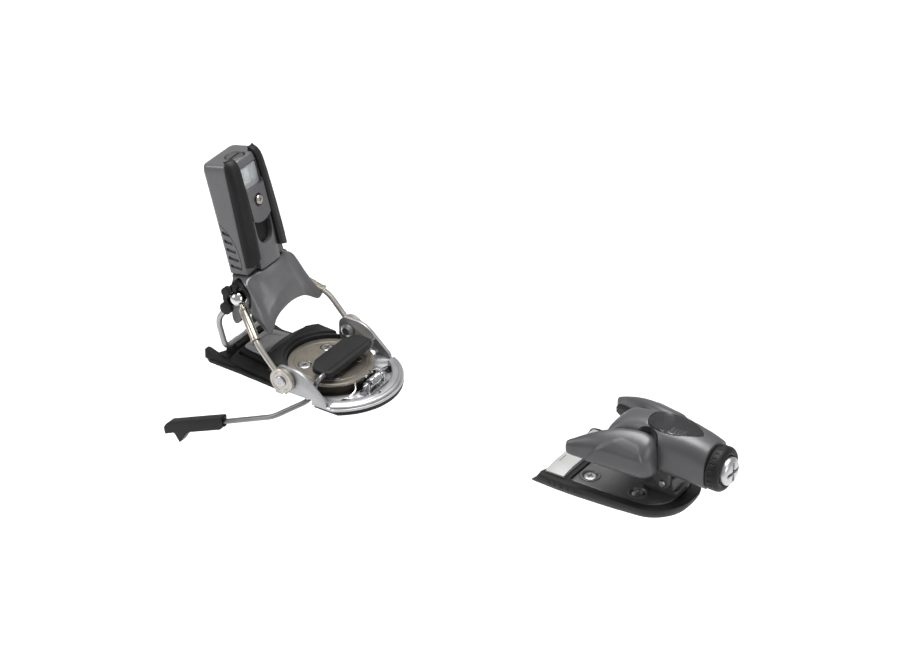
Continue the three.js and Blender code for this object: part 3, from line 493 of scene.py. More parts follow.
LOOKS = {
    "graphite": grained("graphite_paint", (0.085, 0.085, 0.088), (0.125, 0.125, 0.13), (0.3, 0.42),
                        metallic=0.55, grain=2600, patch=24, coat=0.12),
    # graphite_dark is a darker copy of the graphite paint: painted shade for the toe body and wings
    "graphite_dark": grained("graphite_shaded", (0.052, 0.052, 0.055), (0.08, 0.08, 0.084), (0.36, 0.5),
                             metallic=0.4, grain=2600, patch=24, coat=0.08),
    "black_plastic": grained("black_moulded", (0.005, 0.005, 0.0053), (0.009, 0.009, 0.0094), (0.42, 0.6),
                             specular=0.22, grain=1600, depth=0.00005, strength=0.45, patch=60),
    "dark_plate": grained("dark_plate", (0.075, 0.075, 0.077), (0.11, 0.11, 0.112), (0.32, 0.46),
                          metallic=0.7, grain=1800, patch=40),
    "champagne": grained("champagne_metal", (0.29, 0.262, 0.22), (0.38, 0.348, 0.295), (0.24, 0.4),
                         metallic=0.95, grain=1500, patch=50, strength=0.2),
    "silver": grained("silver_metal", (0.31, 0.31, 0.318), (0.42, 0.42, 0.43), (0.3, 0.46),
                      metallic=0.9, grain=1400, patch=45, strength=0.25),
    "chrome": grained("chrome", (0.5, 0.5, 0.515), (0.62, 0.62, 0.635), (0.08, 0.2),
                      metallic=1.0, grain=700, patch=90, strength=0.08),
    "steel": grained("steel", (0.36, 0.36, 0.37), (0.5, 0.5, 0.51), (0.2, 0.36),
                     metallic=0.95, grain=1500, patch=60, strength=0.2),
    "clear_window": clear_plastic("clear_window", (0.75, 0.78, 0.80), 0.06, 0.22),
    "smoked_window": clear_plastic("smoked_window", (0.03, 0.03, 0.032), 0.05, 0.42),
    "champagne_bright": grained("bright_champagne", (0.38, 0.355, 0.32), (0.48, 0.455, 0.415), (0.24, 0.36),
                                metallic=0.9, grain=1500, patch=50, strength=0.15),
    "rod_steel": grained("rod_steel", (0.14, 0.14, 0.143), (0.22, 0.22, 0.224), (0.28, 0.42),
                         metallic=0.95, grain=1500, patch=60, strength=0.2),
    "bright_metal": grained("bright_metal", (0.4, 0.4, 0.41), (0.52, 0.52, 0.53), (0.22, 0.36),
                            metallic=0.9, grain=1400, patch=45, strength=0.2),
    "afd_pale": grained("afd_pale", (0.25, 0.25, 0.247), (0.32, 0.32, 0.316), (0.38, 0.55),
                        metallic=0.1, grain=1200, patch=40, strength=0.2),
}


def dress_frame():
    """Every CAD node that stays visible wears its record slot's material."""
    for entry in frame["record"]["subparts"]:
        node = frame["nodes"][entry["node"]]
        shade(node.data)
        node.data.materials.clear()
        node.data.materials.append(LOOKS[entry["material_slot"]])


# ---- Heel: turntable ----

BODY_OF = {node: body for body, nodes in frame["record"]["behaviour"]["bodies"].items() for node in nodes}
SLOT_OF = {entry["node"]: entry["material_slot"] for entry in frame["record"]["subparts"]}


def stand_for(piece, nodes, look=None, angle=32):
    """The piece takes the place of CAD nodes, with their body and material slot."""
    slot = SLOT_OF[nodes[0]]
    return wear(piece, LOOKS[look or slot], BODY_OF[nodes[0]], nodes, angle)


def detail(piece, node, look=None, slot=None, angle=32):
    """A small extra piece that rides with a CAD node's body."""
    slot = slot or SLOT_OF[node]
    return wear(piece, LOOKS[look or slot], BODY_OF[node], (), angle)


def moved(x, y, z):
    return Matrix.Translation(Vector((x, y, z)))


def across(x, z, place=IDENTITY):
    """A place whose local Z runs along Y, through (x, z)."""
    return place @ moved(x, 0, z) @ ALONG_Y


def cross_outline(reach, half):
    """A cross whose arms reach out by reach and are 2 * half wide."""
    corners = []
    for turn in (0, 90, 180, 270):
        c, s = round(math.cos(math.radians(turn))), round(math.sin(math.radians(turn)))
        corners += [(x * c - y * s, x * s + y * c)
                    for x, y in ((-reach, -half), (-half, -half), (-half, -reach))]
    return corners


def screw(node, x, y, face, place):
    """A countersunk ski screw with a cross recess."""
    top = face - 0.35
    profile = [(0, -8), (0.6, -8), (2.2, -5), (2.2, top - 2.4), (4.3, top - 0.7), (4.5, top - 0.4),
               (4.3, top), (3.2, top + 0.25), (0, top + 0.35)]
    head = turned("screw", profile, place @ moved(x, y, 0), 48)
    cross = rounded(cross_outline(2.5, 0.5), 0.2, 3)
    cut(head, slab("recess", cross, top - 1.5, top + 2, place @ moved(x, y, 0)))
    stand_for(soften(head, 0.08, 1), [node])


def screw_seat(x, y, face, place):
    profile = [(0, -6), (2.65, -6), (2.65, face - 3), (4.9, face - 1.1), (4.9, face - 0.4), (5.3, face + 0.1),
               (5.3, face + 4), (0, face + 4)]
    return turned("seat", profile, place @ moved(x, y, 0), 48)


def mounting_disc():
    top = DISC_TOP
    profile = [(0, -2.5), (23.5, -2.5), (23.5, 9.3), (30.6, 9.3), (31, 9.7), (31, 11.4), (30.4, top),
               (26.6, top), (26.3, 11.7), (25.7, 11.7), (25.4, top), (0, top)]
    disc = turned("disc", profile, HEEL, 128)
    stand_for(cut(disc, *[screw_seat(x, y, top, HEEL) for x, y in HEEL_SCREWS]), ["mounting_disc"])
    for i, (x, y) in enumerate(HEEL_SCREWS):
        screw(f"heel_screw_{i + 1}", x, y, top, HEEL)


def round_front(tail, reach):
    """Points down the right-hand side, round the turntable's front, and back up the left-hand side."""
    swing = math.degrees(math.asin(reach / FRONT_R))
    return tail + arc(FRONT_X, 0, FRONT_R, -swing, swing, 56) + [(x, -y) for x, y in reversed(tail)]


def heel_base():
    tail = [(-81, -13), (-87.6, -28), (-84, -30.5), (-56, -31.5), (-20, -34), (2, -38.3)]
    base = slab("base", round_front(tail, 38.5), -2.1, 0.5, HEEL)
    deck = [(-70, -27), (-24, -32), (-24, 32), (-70, 27)]
    rings = []
    for z, grow in ((-0.5, 0.0), (2.0, 0.0), (4.6, -4.2), (7.4, -9.6), (7.9, -11.2)):
        rings.append([(x + grow * (0.1 if x > -60 else -0.25), y + grow * math.copysign(1, y), z)
                      for x, y in deck])
    joined(base, loft("deck", rings, HEEL))
    saddle = rounded([(-80, 0), (-78.6, 9.2), (-69, 9.2), (-67, 0)], 1.4)
    horn = rounded([(-88, 0), (-88, 8), (-85.5, 8.4), (-62, 1), (-62, 0)], 1.2)
    for _, side in SIDES:
        joined(base, side_slab("saddle", saddle, 5 * side, 16 * side, HEEL),
               side_slab("horn", horn, 26.5 * side, 30 * side, HEEL))
    cutters = [bar("well", 24, -6, 20, HEEL, 96)]
    for _, side in SIDES:
        notch = rectangle(-14, 32.2 * side, 12, 60 * side)
        cutters.append(slab("notch", notch, -6, 1.6, HEEL))
        cutters.append(bar("bar", 2.45, 0, 30 * side, across(*STIRRUP_FOOT, HEEL), 32))
        flute = rounded([(-66, 17.6 * side), (-36, 21.5 * side), (-36, 24 * side), (-66, 20.4 * side)], 1.0)
        cutters.append(slab("flute", flute, 4.4, 12, HEEL))
    stand_for(soften(cut(base, *cutters), 0.35, 2), ["heel_base"])


def heel_pad():
    outer = math.degrees(math.asin(30.5 / 44.5))
    inner = math.degrees(math.acos(12 / 31.5))
    outline = arc(0, 0, 44.5, 180 - outer, 180 + outer, 48) + arc(0, 0, 31.5, 180 + inner, 180 - inner, 60)
    pad = slab("pad", outline, 8.35, 16.5, HEEL)
    slope = side_slab("slope", [(-70, 4), (-38, 16.0), (-38, 30), (-70, 30)], -60, 60, HEEL)
    lip = turned("lip", [(31.0, 14.6), (33.2, 14.6), (33.9, 17.4), (31.0, 17.4), (31.0, 14.6)], HEEL, 128)
    pad = cut(pad, slope, lip)
    stand_for(soften(pad, 0.6, 3), ["heel_pad"])


def turntable_frame():
    tail = [(-23, -30), (-19.5, -EAR_OUT)]
    frame_plate = slab("plate", round_front(tail, EAR_OUT), 0.85, 2.45, HEEL)
    corners = [(-19.5, 1.05), (-19.5, 20, 5), (-15.4, 24, 4), (2.5, 24, 7), (24, 5.2, 3), (24, 1.05)]
    ear = rounded(corners, 0.5, 8)
    cutters = [bar("well", 31.5, -6, 30, HEEL, 128)]
    for _, side in SIDES:
        joined(frame_plate, side_slab("ear", ear, 38 * side, EAR_OUT * side, HEEL))
        cutters.append(bar("bore", 3.35, 30 * side, 60 * side, across(*EAR_PIVOT, HEEL), 40))
        notch = rectangle(-13.5, 32.2 * side, 11.5, 60 * side)
        cutters.append(slab("notch", notch, -6, 4.6, HEEL))
        slot = rounded([(26, 24 * side), (34, 20.5 * side), (35.5, 26 * side), (28, 31 * side)], 2.0)
        cutters.append(slab("slot", slot, -1, 5, HEEL))
    stand_for(soften(cut(frame_plate, *cutters), 0.3, 2), ["turntable_frame"])


def brake_plate():
    low = BRAKE_LOW
    profile = [(38.5, low), (45.7, low), (45.7, low + 1.0), (45.3, low + 1.4), (43.8, low + 1.6),
               (43.3, low + 2.2), (42.8, low + 2.4), (39.1, low + 2.4), (38.5, low + 2.0), (38.5, low)]
    ring = turned("ring", profile, HEEL @ moved(FRONT_X, 0, 0), 200)
    behind = slab("behind", rectangle(-60, -60, 26.5, 60), 0, 20, HEEL)
    notch = slab("notch", rounded([(40, -13), (46.5, -12), (46.5, -5), (40, -4)], 1), 0, 20, HEEL)
    stand_for(soften(cut(ring, behind, notch), 0.15, 1), ["brake_plate"])


def brake_bracket():
    low = BRAKE_LOW
    foot = slab("foot", rounded(rectangle(32.2, -13, 41, 13), 1.6), low, low + 1.2, HEEL)
    cheek = rounded([(32.4, low + 0.5), (40, low + 0.5), (38.6, 11, 2), (34, 11, 2)], 0.4)
    cheeks = [side_slab("cheek", cheek, 9 * side - 0.8, 9 * side + 0.8, HEEL) for _, side in SIDES]
    pin = turned("pin", [(0, -12), (1.0, -12), (1.2, -11.7), (1.2, 11.7), (1.0, 12), (0, 12)],
                 across(*BRAKE_PIN, HEEL), 32)
    stand_for(soften(joined(foot, *cheeks, pin), 0.15, 2), ["brake_bracket"])
    spring = coil("brake_spring", 2.6, 0.5, -6.3, 6.3, 9, across(*BRAKE_PIN, HEEL))
    stand_for(spring, ["brake_spring"])
    for _, side in SIDES:
        bent = [(33.0, 3.2 * side, 12.4), (28.5, 4.4 * side, 11.2), (27.6, 11 * side, 9.6),
                (33, 17 * side, 7.4), (31.5, 24 * side, 5.2)]
        wire = sweep("spring_wire", [HEEL @ p for p in rounded_path(bent, 4, 10)], circle(0.75, 14))
        detail(wire, "brake_spring", "chrome")
    nut = turned("nut", [(0, low), (3.1, low), (3.1, low + 2.6), (2.4, low + 3.2), (0, low + 3.2)],
                 HEEL @ moved(30.5, 17.5, 0), 6)
    detail(soften(nut, 0.2, 2), "brake_bracket", "steel")


def stirrup_bridge():
    plan = rounded([(-65, -15), (-46, -17), (-46, 17), (-65, 15)], 3)
    bridge = slab("bridge", plan, 8.35, 10, HEEL)
    opening = slab("opening", rounded([(-61, -10), (-51, -12), (-51, 12), (-61, 10)], 2), 9.2, 14, HEEL)
    stand_for(soften(cut(bridge, opening), 0.25, 2), ["stirrup_bridge"])


# ---- Heel: arms ----

def arm_frame(side):
    """A place at the middle of a ball, with local Z along its arm, away from the ear."""
    run = Vector((HEAD_PIVOT[0] - ARM_BEND[0], side * (BALL_Y - ARM_BEND_Y), HEAD_PIVOT[1] - ARM_BEND[1]))
    turn = run.to_track_quat("Z", "Y").to_matrix().to_4x4()
    return HEEL @ moved(HEAD_PIVOT[0], side * BALL_Y, HEAD_PIVOT[1]) @ turn


def arm(name, side):
    place = arm_frame(side)
    eye_profile = [(3.35, 41.2), (8.8, 41.2), (9.4, 41.8), (9.4, 44.6), (8.8, 45.2), (7.4, 45.2), (7.1, 44.9),
                   (6.6, 44.9), (6.3, 45.2), (3.35, 45.2), (3.35, 41.2)]
    eye = turned("eye", [(r, y * side) for r, y in eye_profile], across(*EAR_PIVOT, HEEL), 72)
    toward = Vector((ARM_BEND[0] - EAR_PIVOT[0], 0, ARM_BEND[1] - EAR_PIVOT[1])).normalized()
    start = Vector((EAR_PIVOT[0], side * 43.2, EAR_PIVOT[1])) + toward * 6.5
    bend = Vector((ARM_BEND[0], side * ARM_BEND_Y, ARM_BEND[1]))
    path = [HEEL @ start, HEEL @ bend, place @ Vector((0, 0, -24))]
    rod = sweep("rod", rounded_path(path, 6, 14), circle(2.0, 28))
    stand_for(joined(eye, rod), [f"arm_rod_{name}"], "champagne_bright")
    sleeve = [(2.35, -35), (3.2, -35), (3.7, -34.6), (3.7, -33.6), (3.15, -33.0), (3.15, -12.6), (2.9, -12.2),
              (2.9, -11.7), (3.15, -11.3), (3.15, -8.8), (2.7, -8.4), (2.35, -8.4), (2.35, -35)]
    stand_for(turned("sleeve", sleeve, place, 48), [f"arm_sleeve_{name}"])
    rivet = [(0, 34.6), (3, 34.6), (5, 36), (5, 37.6), (3, 37.6), (3, 45.4), (4.2, 45.5), (4.2, 46.0),
             (3.6, 46.6), (1.5, 46.8), (1.2, 46.5), (0, 46.4)]
    stand_for(turned("rivet", [(r, y * side) for r, y in rivet], across(*EAR_PIVOT, HEEL), 48),
              [f"arm_rivet_{name}"])
    ball = turned("ball", round_profile(6, 4), HEEL @ moved(HEAD_PIVOT[0], side * BALL_Y, HEAD_PIVOT[1]), 64)
    cut(ball, bar("bore", 1.95, -10, 10, place, 32),
        bar("socket", 2.35, 0, 23.6 * side, across(HEAD_PIVOT[0], HEAD_PIVOT[1], HEEL), 32))
    stand_for(ball, [f"trunnion_{name}"])
    screw_line = [(0, -8.2), (1.6, -8), (1.6, 6.4), (3.1, 6.4), (3.4, 6.8), (3.4, 9.3), (2.9, 9.9), (0, 10)]
    head = turned("forward", screw_line, place, 48)
    cut(head, slab("slot", rectangle(-5, -0.55, 5, 0.55), 8.7, 12, place))
    stand_for(soften(head, 0.1, 1), [f"forward_screw_{name}"])


def stirrup():
    half = [(STIRRUP_TOP, 12.5), (STIRRUP_TOP, 24), (STIRRUP_KNEE, 24), (STIRRUP_FOOT, 23.5)]
    corners = [(x, -y, z) for (x, z), y in half] + [(x, y, z) for (x, z), y in reversed(half)]
    path = rounded_path([HEEL @ Vector(c) for c in corners], 6.5, 16)
    stand_for(sweep("stirrup", path, circle(2.1, 28)), ["heel_stirrup"])


# ---- Heel: head ----

def in_head(point):
    """An (x, z) place of the heel, seen from the head."""
    return HEAD.inverted() @ HEEL @ Vector((point[0], 0, point[1]))


def blend_at(table, u):
    """Values at u from rows of (u, values...), by straight lines between them."""
    for low, high in zip(table, table[1:]):
        if u <= high[0]:
            t = (u - low[0]) / (high[0] - low[0])
            return [a + (b - a) * t for a, b in zip(low[1:], high[1:])]
    return list(table[-1][1:])


SPRING_PLACE = HEAD @ moved(SPRING_F, 0, 0)

# height, back, half width, front
HEAD_TABLE = [(7.5, -18.4, 22.0, 3.4), (30, -20.9, 21.3, 2.9), (60, -24.6, 19.9, 1.4),
              (84, -27.6, 18.9, -1.2), (89.5, -27.4, 17.8, -3.0)]


def groove_line(u):
    """How far forward the flat under the rails lies at height u."""
    return -1.3 - u * 0.07


def head_ring(u, inset=0.0):
    """The head's outline at height u."""
    back, half, front = blend_at(HEAD_TABLE, u)
    groove, inner = groove_line(u), 11.45 - u * 0.02
    back, half, front, groove = back + inset, half - inset, front - inset, groove - inset
    right = [(front, 0, 0.01), (front, 7, 2), (front - 0.6, inner - inset, 0.5), (groove, inner - inset, 0.4),
             (groove, half, 0.9), (-10, half, 0.01), (back, half, 4.2), (back, 0, 0.01)]
    outline = right + [(x, -y, r) for x, y, r in reversed(right[1:-1])]
    points = []
    for point in rounded_fixed(outline, 7):
        slope = max(0, -6 - point[0]) * 0.05 * max(0, (u - 80) / 9.5)
        points.append((point[0], point[1], u - slope))
    return points


def rounded_fixed(outline, steps):
    """A closed outline of (x, y, radius) corners, each turned into the same number of points."""
    result = []
    count = len(outline)
    for i, corner in enumerate(outline):
        here = Vector(corner[:2])
        before = Vector(outline[i - 1][:2]) - here
        after = Vector(outline[(i + 1) % count][:2]) - here
        reach = max(min(corner[2], before.length * 0.45, after.length * 0.45), 0.005)
        start, end = here + before.normalized() * reach, here + after.normalized() * reach
        for k in range(steps + 1):
            t = k / steps
            result.append(tuple(start * (1 - t) ** 2 + here * 2 * t * (1 - t) + end * t * t))
    return result


def head_side(f, u, side):
    """A point on the head's flat side."""
    return Vector((f, side * blend_at(HEAD_TABLE, u)[1], u))


def tilted_front(u):
    """A place on the head's front face at height u, with local X pointing out of it."""
    return HEAD @ moved(blend_at(HEAD_TABLE, u)[2], 0, u) @ Matrix.Rotation(FRONT_TILT, 4, "Y")


def heel_housing():
    heights = [7.5, 8.1] + [10 + 4 * i for i in range(19)] + [84, 87.4]
    rings = [head_ring(u, 0.5 if u == 7.5 else 0.0) for u in heights]
    rings += [head_ring(88.7, 0.2), head_ring(89.2, 0.55), head_ring(89.5, 1.2)]
    housing = loft("housing", rings, HEAD)
    boss = [(y, z) for y, z in arc(0, 0, 16.2, 0, 360, 96)[:-1] if abs(y) < 10.6]
    pocket = [(-8.4, 13), (8.4, 13), (8.4, -1.5), (4.6, -7.5), (-4.6, -7.5), (-8.4, -1.5)]
    cut(housing, front_slab("pocket", rounded(pocket, 3.2, 10), -6, 4, tilted_front(POCKET_U)))
    joined(housing, front_slab("boss", boss, -2.4, 0.75, tilted_front(COVER_SCREW_U)))
    opening = rounded([(-9.7, 66.4), (9.7, 66.4), (8.6, 84), (-8.6, 84)], 1.6)
    cutters = [
        turned("recess", [(0, 85.6), (7.3, 85.6), (7.3, 88.6), (8.4, 90.4), (0, 90.4)], SPRING_PLACE, 64),
        bar("spring_bore", 3.2, 60, 92, SPRING_PLACE, 48),
        bar("drum_bore", 8.6, 65, 83.8, SPRING_PLACE, 64),
        front_slab("window_hole", opening, -14, 4, HEAD),
        bar("cover_hole", 4.6, -2, 6, tilted_front(COVER_SCREW_U) @ ALONG_X, 48),
    ]
    cut(housing, *cutters)
    grooves = []
    for _, side in SIDES:
        for i in range(5):
            length = 6.2 + 0.9 * i
            low = 38.2 - 6.2 * i
            back = blend_at(HEAD_TABLE, low)[0]
            corners = [(back + 3.4, low + 1.6), (back + 3.4, low - 0.9), (back + 3.4 + length, low - 2.6),
                       (back + 3.4 + length, low - 0.2)]
            edge = head_side(0, low, side)[1]
            outline = rounded(corners, 0.9, 4)
            grooves.append(side_slab("louvre", outline, edge - 1.3 * side, edge + 2 * side, HEAD))
        seam = [(-23.5, 46.5), (-19.5, 44.0), (-14, 39.0), (-9.0, 31.0), (-6.4, 22.0), (-5.6, 13.0)]
        path = [HEAD @ head_side(f, u, side) for f, u in spline(seam, 6)]
        grooves.append(sweep("seam", path, circle(0.42, 8)))
    stand_for(soften(cut(housing, *grooves), 0.18, 2, 35), ["heel_housing"], angle=40)
    # A black plastic floor set deep in the pocket, which darkens the recess
    pocket_floor = front_slab("pocket_floor", rounded([(-8.1, 9), (8.1, 9), (8.1, -1.5), (4.4, -7.1), (-4.4, -7.1),
                                         (-8.1, -1.5)], 3, 8),
                       -5.9, -3.4, tilted_front(POCKET_U))
    detail(soften(pocket_floor, 0.3, 2), "heel_housing", "black_plastic", "black_plastic")


def rail(name, side):
    table = [(22, 4.6, 22.3), (30, 4.3, 22.0), (45, 3.5, 21.3), (60, 2.6, 20.4), (72, 1.7, 19.8),
             (82, 0.6, 19.2), (86, -0.3, 18.8), (89.0, -1.7, 18.2), (90.8, -3.2, 17.4), (91.8, -4.8, 16.6)]

    def ring(u, front, wide):
        inner = 11.8 - u * 0.02
        back = groove_line(u) + 0.35
        corners = [(back, inner, 0.3), (front, inner, 0.8), (front + 0.35, inner + 2.6, 1.2),
                   (front - 1.2, wide - 1.6, 2.0), (front - 4.4, wide, 1.2), (back, wide, 0.3)]
        return [(x, side * y, u) for x, y in rounded_fixed(corners, 5)]

    foot = [(x, y, 17.4 - (abs(y) - 11.5) * 0.35) for x, y, _ in ring(14, 4.8, 22.5)]
    stand_for(loft("rail", [foot] + [ring(*row) for row in table], HEAD), [f"rail_{name}"], angle=40)


def window_and_drum():
    edge = rounded([(-9.4, 66.5), (9.4, 66.5), (8.4, 82.9), (-8.4, 82.9)], 1.5)
    window = front_slab("window", edge, -3, -1.7, HEAD)
    stand_for(soften(window, 0.2, 2), ["heel_window"])
    ribs = []
    for i in range(96):
        angle = 2 * math.pi * i / 96
        radius = 7.35 + 0.35 * math.tanh(3 * math.sin(angle * 16))
        ribs.append((radius * math.cos(angle), radius * math.sin(angle)))
    place = SPRING_PLACE
    drum = slab("drum", ribs, 71, 80.4, place)
    profile = [(2.95, 60.2), (6.6, 60.2), (6.6, 63), (4.2, 64), (4.2, 69), (7.8, 69), (8.1, 69.4),
               (8.1, 70.8), (7.8, 71.2), (2.95, 71.2), (2.95, 60.2)]
    joined(drum, turned("flange", profile, place, 80))
    cut(drum, bar("bore", 2.95, 50, 90, place, 48))
    stand_for(drum, ["heel_indicator"])
    adjuster = turned("adjuster",
                      [(0, 62), (2.5, 62), (2.5, 86.2), (6.3, 86.2), (6.8, 86.7), (6.8, 88.2), (6.2, 88.9),
                                   (5.2, 89), (0, 89)], place, 64)
    slot = slab("slot", rounded(rectangle(-0.9, -5.6, 0.9, 5.6), 0.8), 87.2, 92, place)
    stand_for(soften(cut(adjuster, slot), 0.15, 2), ["heel_adjuster"])
    cover = tilted_front(COVER_SCREW_U) @ ALONG_X
    profile = [(0, -0.4), (2.2, -0.4), (2.2, 0.8), (3.2, 1.4), (3.3, 1.9), (2.9, 2.4), (0, 2.6)]
    head = turned("cover", profile, cover, 48)
    cross = slab("cross", cross_outline(1.8, 0.35), 1.5, 4, cover)
    stand_for(cut(head, cross), ["cover_screw"], "champagne_bright")


# half width, and the (x, z) corners of the cup's outline there
CUP_SLICES = [
    (0, [(-19, 6.6), (-8, 7), (2, 7.1), (6, 3.4), (10.6, -2.5), (14, -8.5), (15, -21), (7, -17), (-4, -14),
         (-18, -8)]),
    (12, [(-19, 6.6), (-8, 7), (1.6, 7.1), (5.2, 2.4), (9.4, -5.2), (13.2, -11.5), (14.8, -22.8), (7, -18.5),
          (-4, -14.5), (-18, -8)]),
    (19, [(-18, 6.6), (-8, 7), (0.2, 7.1), (3.4, 1), (7.2, -7.2), (11.6, -15.4), (14.6, -26), (7.2, -21),
          (-3, -15.5), (-17, -8)]),
    (24.4, [(-14, 4.5), (-8, 5), (-1.0, 5.2), (3.6, -2.6), (7.6, -11.6), (11.6, -21.2), (15.6, -30),
            (9.4, -26.5), (0.4, -17.5), (-12, -8)]),
    (28.2, [(-9, 0), (-5, 1), (1.2, 1.0), (5.6, -7.6), (10, -16.4), (13.4, -24.6), (16.4, -32), (12, -31),
            (4, -20.5), (-7, -9)]),
    (32, [(2.5, -15.5), (3.5, -15), (5.5, -15), (8, -17.5), (11, -21.5), (14.8, -26.5), (16.4, -31),
          (14, -30.5), (8.6, -23.8), (3.2, -17)]),
]


def heel_cup():
    rows = [(-y, points) for y, points in reversed(CUP_SLICES[1:])] + list(CUP_SLICES)
    rings = []
    for y, points in rows:
        rounded_points = rounded_fixed([(x, z, 1.6) for x, z in points], 4)
        rings.append([Vector((x, y, z)) for x, z in rounded_points])
    cup = loft("cup", smooth_rings(rings, 5), HEAD)
    tail = rounded([(-16.6, 6.6), (-19, 4), (-25.4, -12), (-27.6, -31), (-26.2, -35), (-22.8, -35),
                    (-14, -23), (-8, -12), (-8, 6.6)], 2.2)
    joined(cup, side_slab("tail", tail, -17, 17, HEAD))
    cutters = []
    pin, axle = in_head(STIRRUP_TOP), in_head(HEAD_PIVOT)
    for _, side in SIDES:
        for centre, radius, inner in ((axle, 14.3, 18), (axle, 2.35, 0), (pin, 4.7, 11.9)):
            place = across(centre[0], centre[2], HEAD)
            cutters.append(bar("cutter", radius, inner * side, 60 * side, place, 72))
    stand_for(soften(cut(cup, *cutters), 0.5, 3, 38), ["heel_cup"], angle=38)


def sector(inner, outer, start, end, near, far, place):
    outline = arc(0, 0, outer, start, end, 36) + arc(0, 0, inner, end, start, 36)
    return side_slab("sector", outline, near, far, place)


def knuckle(name, side):
    pivot = in_head(HEAD_PIVOT)
    place = HEAD @ moved(pivot[0], 0, pivot[2])
    piece = sector(10.4, 12.6, -30, 100, 18.35 * side, 28.2 * side, place)
    joined(piece, sector(6.9, 11.6, 72, 100, 27.2 * side, 30.8 * side, place),
           sector(6.9, 10.5, 92, 232, 27.2 * side, 30.8 * side, place))
    for x, z, radius in ((-9.9, -7.5, 4.6), (-7.0, 5.4, 3.6)):
        joined(piece, bar("lobe", radius, 27.2 * side, 31.2 * side, across(x, z, place), 48))
    cut(piece, turned("clear", round_profile(6.35, 8), place @ moved(0, BALL_Y * side, 0), 48))
    stand_for(soften(piece, 0.6, 3), [f"knuckle_{name}"])


# ---- Brake ----

def claw_line(x):
    """The height of the brake arm's straight part at x."""
    return BRAKE_KNEE[1] + (x - BRAKE_KNEE[0]) * CLAW_SLOPE


def brake_arm(name, side):
    (hinge_x, hinge_z), (knee_x, knee_z) = PEDAL_HINGE, BRAKE_KNEE
    corners = [(hinge_x, 23, hinge_z), (hinge_x, 34.3, hinge_z), (6, 34.3, 1.4), (5, 39, 0),
               (knee_x, 50, knee_z), (-72, 51.5, claw_line(-72))]
    path = [HEEL @ Vector((x, y * side, z)) for x, y, z in corners]
    stand_for(sweep("arm", rounded_path(path, 5, 12), circle(1.9, 24)), [f"brake_arm_{name}"], "rod_steel")
    above = [(-57, 5, 2.0), (-105, 5.2, 2.5), (-108, 2, 1.6), (-107, -4.2, 1.2), (-99, -3.8, 1.6),
             (-94, -12.6, 1.0), (-87, -4.6, 3.0), (-57, -4.8, 2.0)]
    outline = rounded([(x, claw_line(x) + rise, radius) for x, rise, radius in above], 1.2)
    claw = side_slab("claw", outline, side * 47.9, side * 55.1, HEEL)
    socket = [HEEL @ Vector((x, y * side, claw_line(x))) for x, y in ((-50, 51), (-72.6, 51.5))]
    cut(claw, sweep("socket", socket, circle(2.25, 24)))
    along = Matrix.Rotation(math.atan(1 / CLAW_SLOPE), 4, "Y")
    place = HEEL @ moved(-59.5, side * 51.2, claw_line(-59.5)) @ along
    profile = [(2.3, -2.2), (3.4, -2.2), (3.7, -1.6), (3.7, 2.4), (2.3, 2.4), (2.3, -2.2)]
    collar = turned("collar", profile, place, 40)
    stand_for(soften(claw, 1.1, 3), [f"brake_tip_{name}"])
    detail(soften(collar, 0.3, 2), f"brake_tip_{name}")


def brake_pedal():
    plan = [(-2, -17), (-2, 17), (2, 26), (6, 28), (15, 28), (18, 25), (18.5, 17), (18.5, -17), (18, -25),
            (15, -28), (6, -28), (2, -26)]
    pedal = slab("pedal", rounded(plan, 1.6, 6), 17.1, 21.5, HEEL)
    crease = rounded(rectangle(14.2, -24, 14.8, 24), 0.25)
    cutters = [slab("crease", crease, 21.2, 24, HEEL)]
    for _, side in SIDES:
        cutters.append(bar("bore", 2.05, 22 * side, 60 * side, across(*PEDAL_HINGE, HEEL), 32))
    soft = soften(pedal, 0.9, 4)
    stand_for(cut(soft, *cutters), ["brake_pedal"])


# ---- Toe ----

BARREL = TOE @ moved(0, 0, BARREL_Z) @ ALONG_X

TOE_HALF = [(208, 36), (222, 36), (252, 34.6), (277, 32), (287.5, 27), (294, 18.5), (298.2, 8)]


def toe_outline(inset, back):
    """The toe base's outline, drawn in by inset, with its rear edge at back."""
    half = [(back, 24), (back - 3.5, 34.8 - inset)]
    half += [(x - inset * 0.5 * (x > 280), y - inset) for x, y in TOE_HALF[:-1]]
    tip, width = TOE_HALF[-1]
    half.append((tip - inset, max(width - inset * 0.3, 3)))
    return rounded_fixed([(x, y, 5) for x, y in mirror_outline(half)], 6)


def toe_base():
    levels = [(3.2, 190, -1.2), (2.2, 191.6, 0.4), (0.4, 194.5, 3.4), (0, 196.4, 6), (0, 198, 8.6)]
    rings = [[(x, y, z) for x, y in toe_outline(inset, back)] for inset, back, z in levels]
    base = loft("toe_base", rings, TOE)
    slope = side_slab("slope", [(225, 8.6), (340, 4.6), (340, 20), (225, 20)], -60, 60, TOE)
    edge = mirror_outline([(217, 29), (222, 30), (252, 28.6), (276, 26), (284, 21), (289, 12)])
    well = slab("well", rounded(edge, 4), 2.8, 20, TOE)
    holes = [bar("hole", 2.65, -5, 9, TOE @ moved(x, y, 0), 40) for x, y in TOE_SCREWS]
    grips = []
    for _, side in SIDES:
        for i in range(6):
            x = 203 + 5.2 * i
            corners = [(x, 2.6), (x + 2.2, 2.6), (x + 3.4, 6.8), (x + 1.2, 6.8)]
            grips.append(side_slab("grip", rounded(corners, 0.4), 35.4 * side, 40 * side, TOE))
    stand_for(soften(cut(base, slope, well, *holes, *grips), 0.6, 3), ["toe_base"])


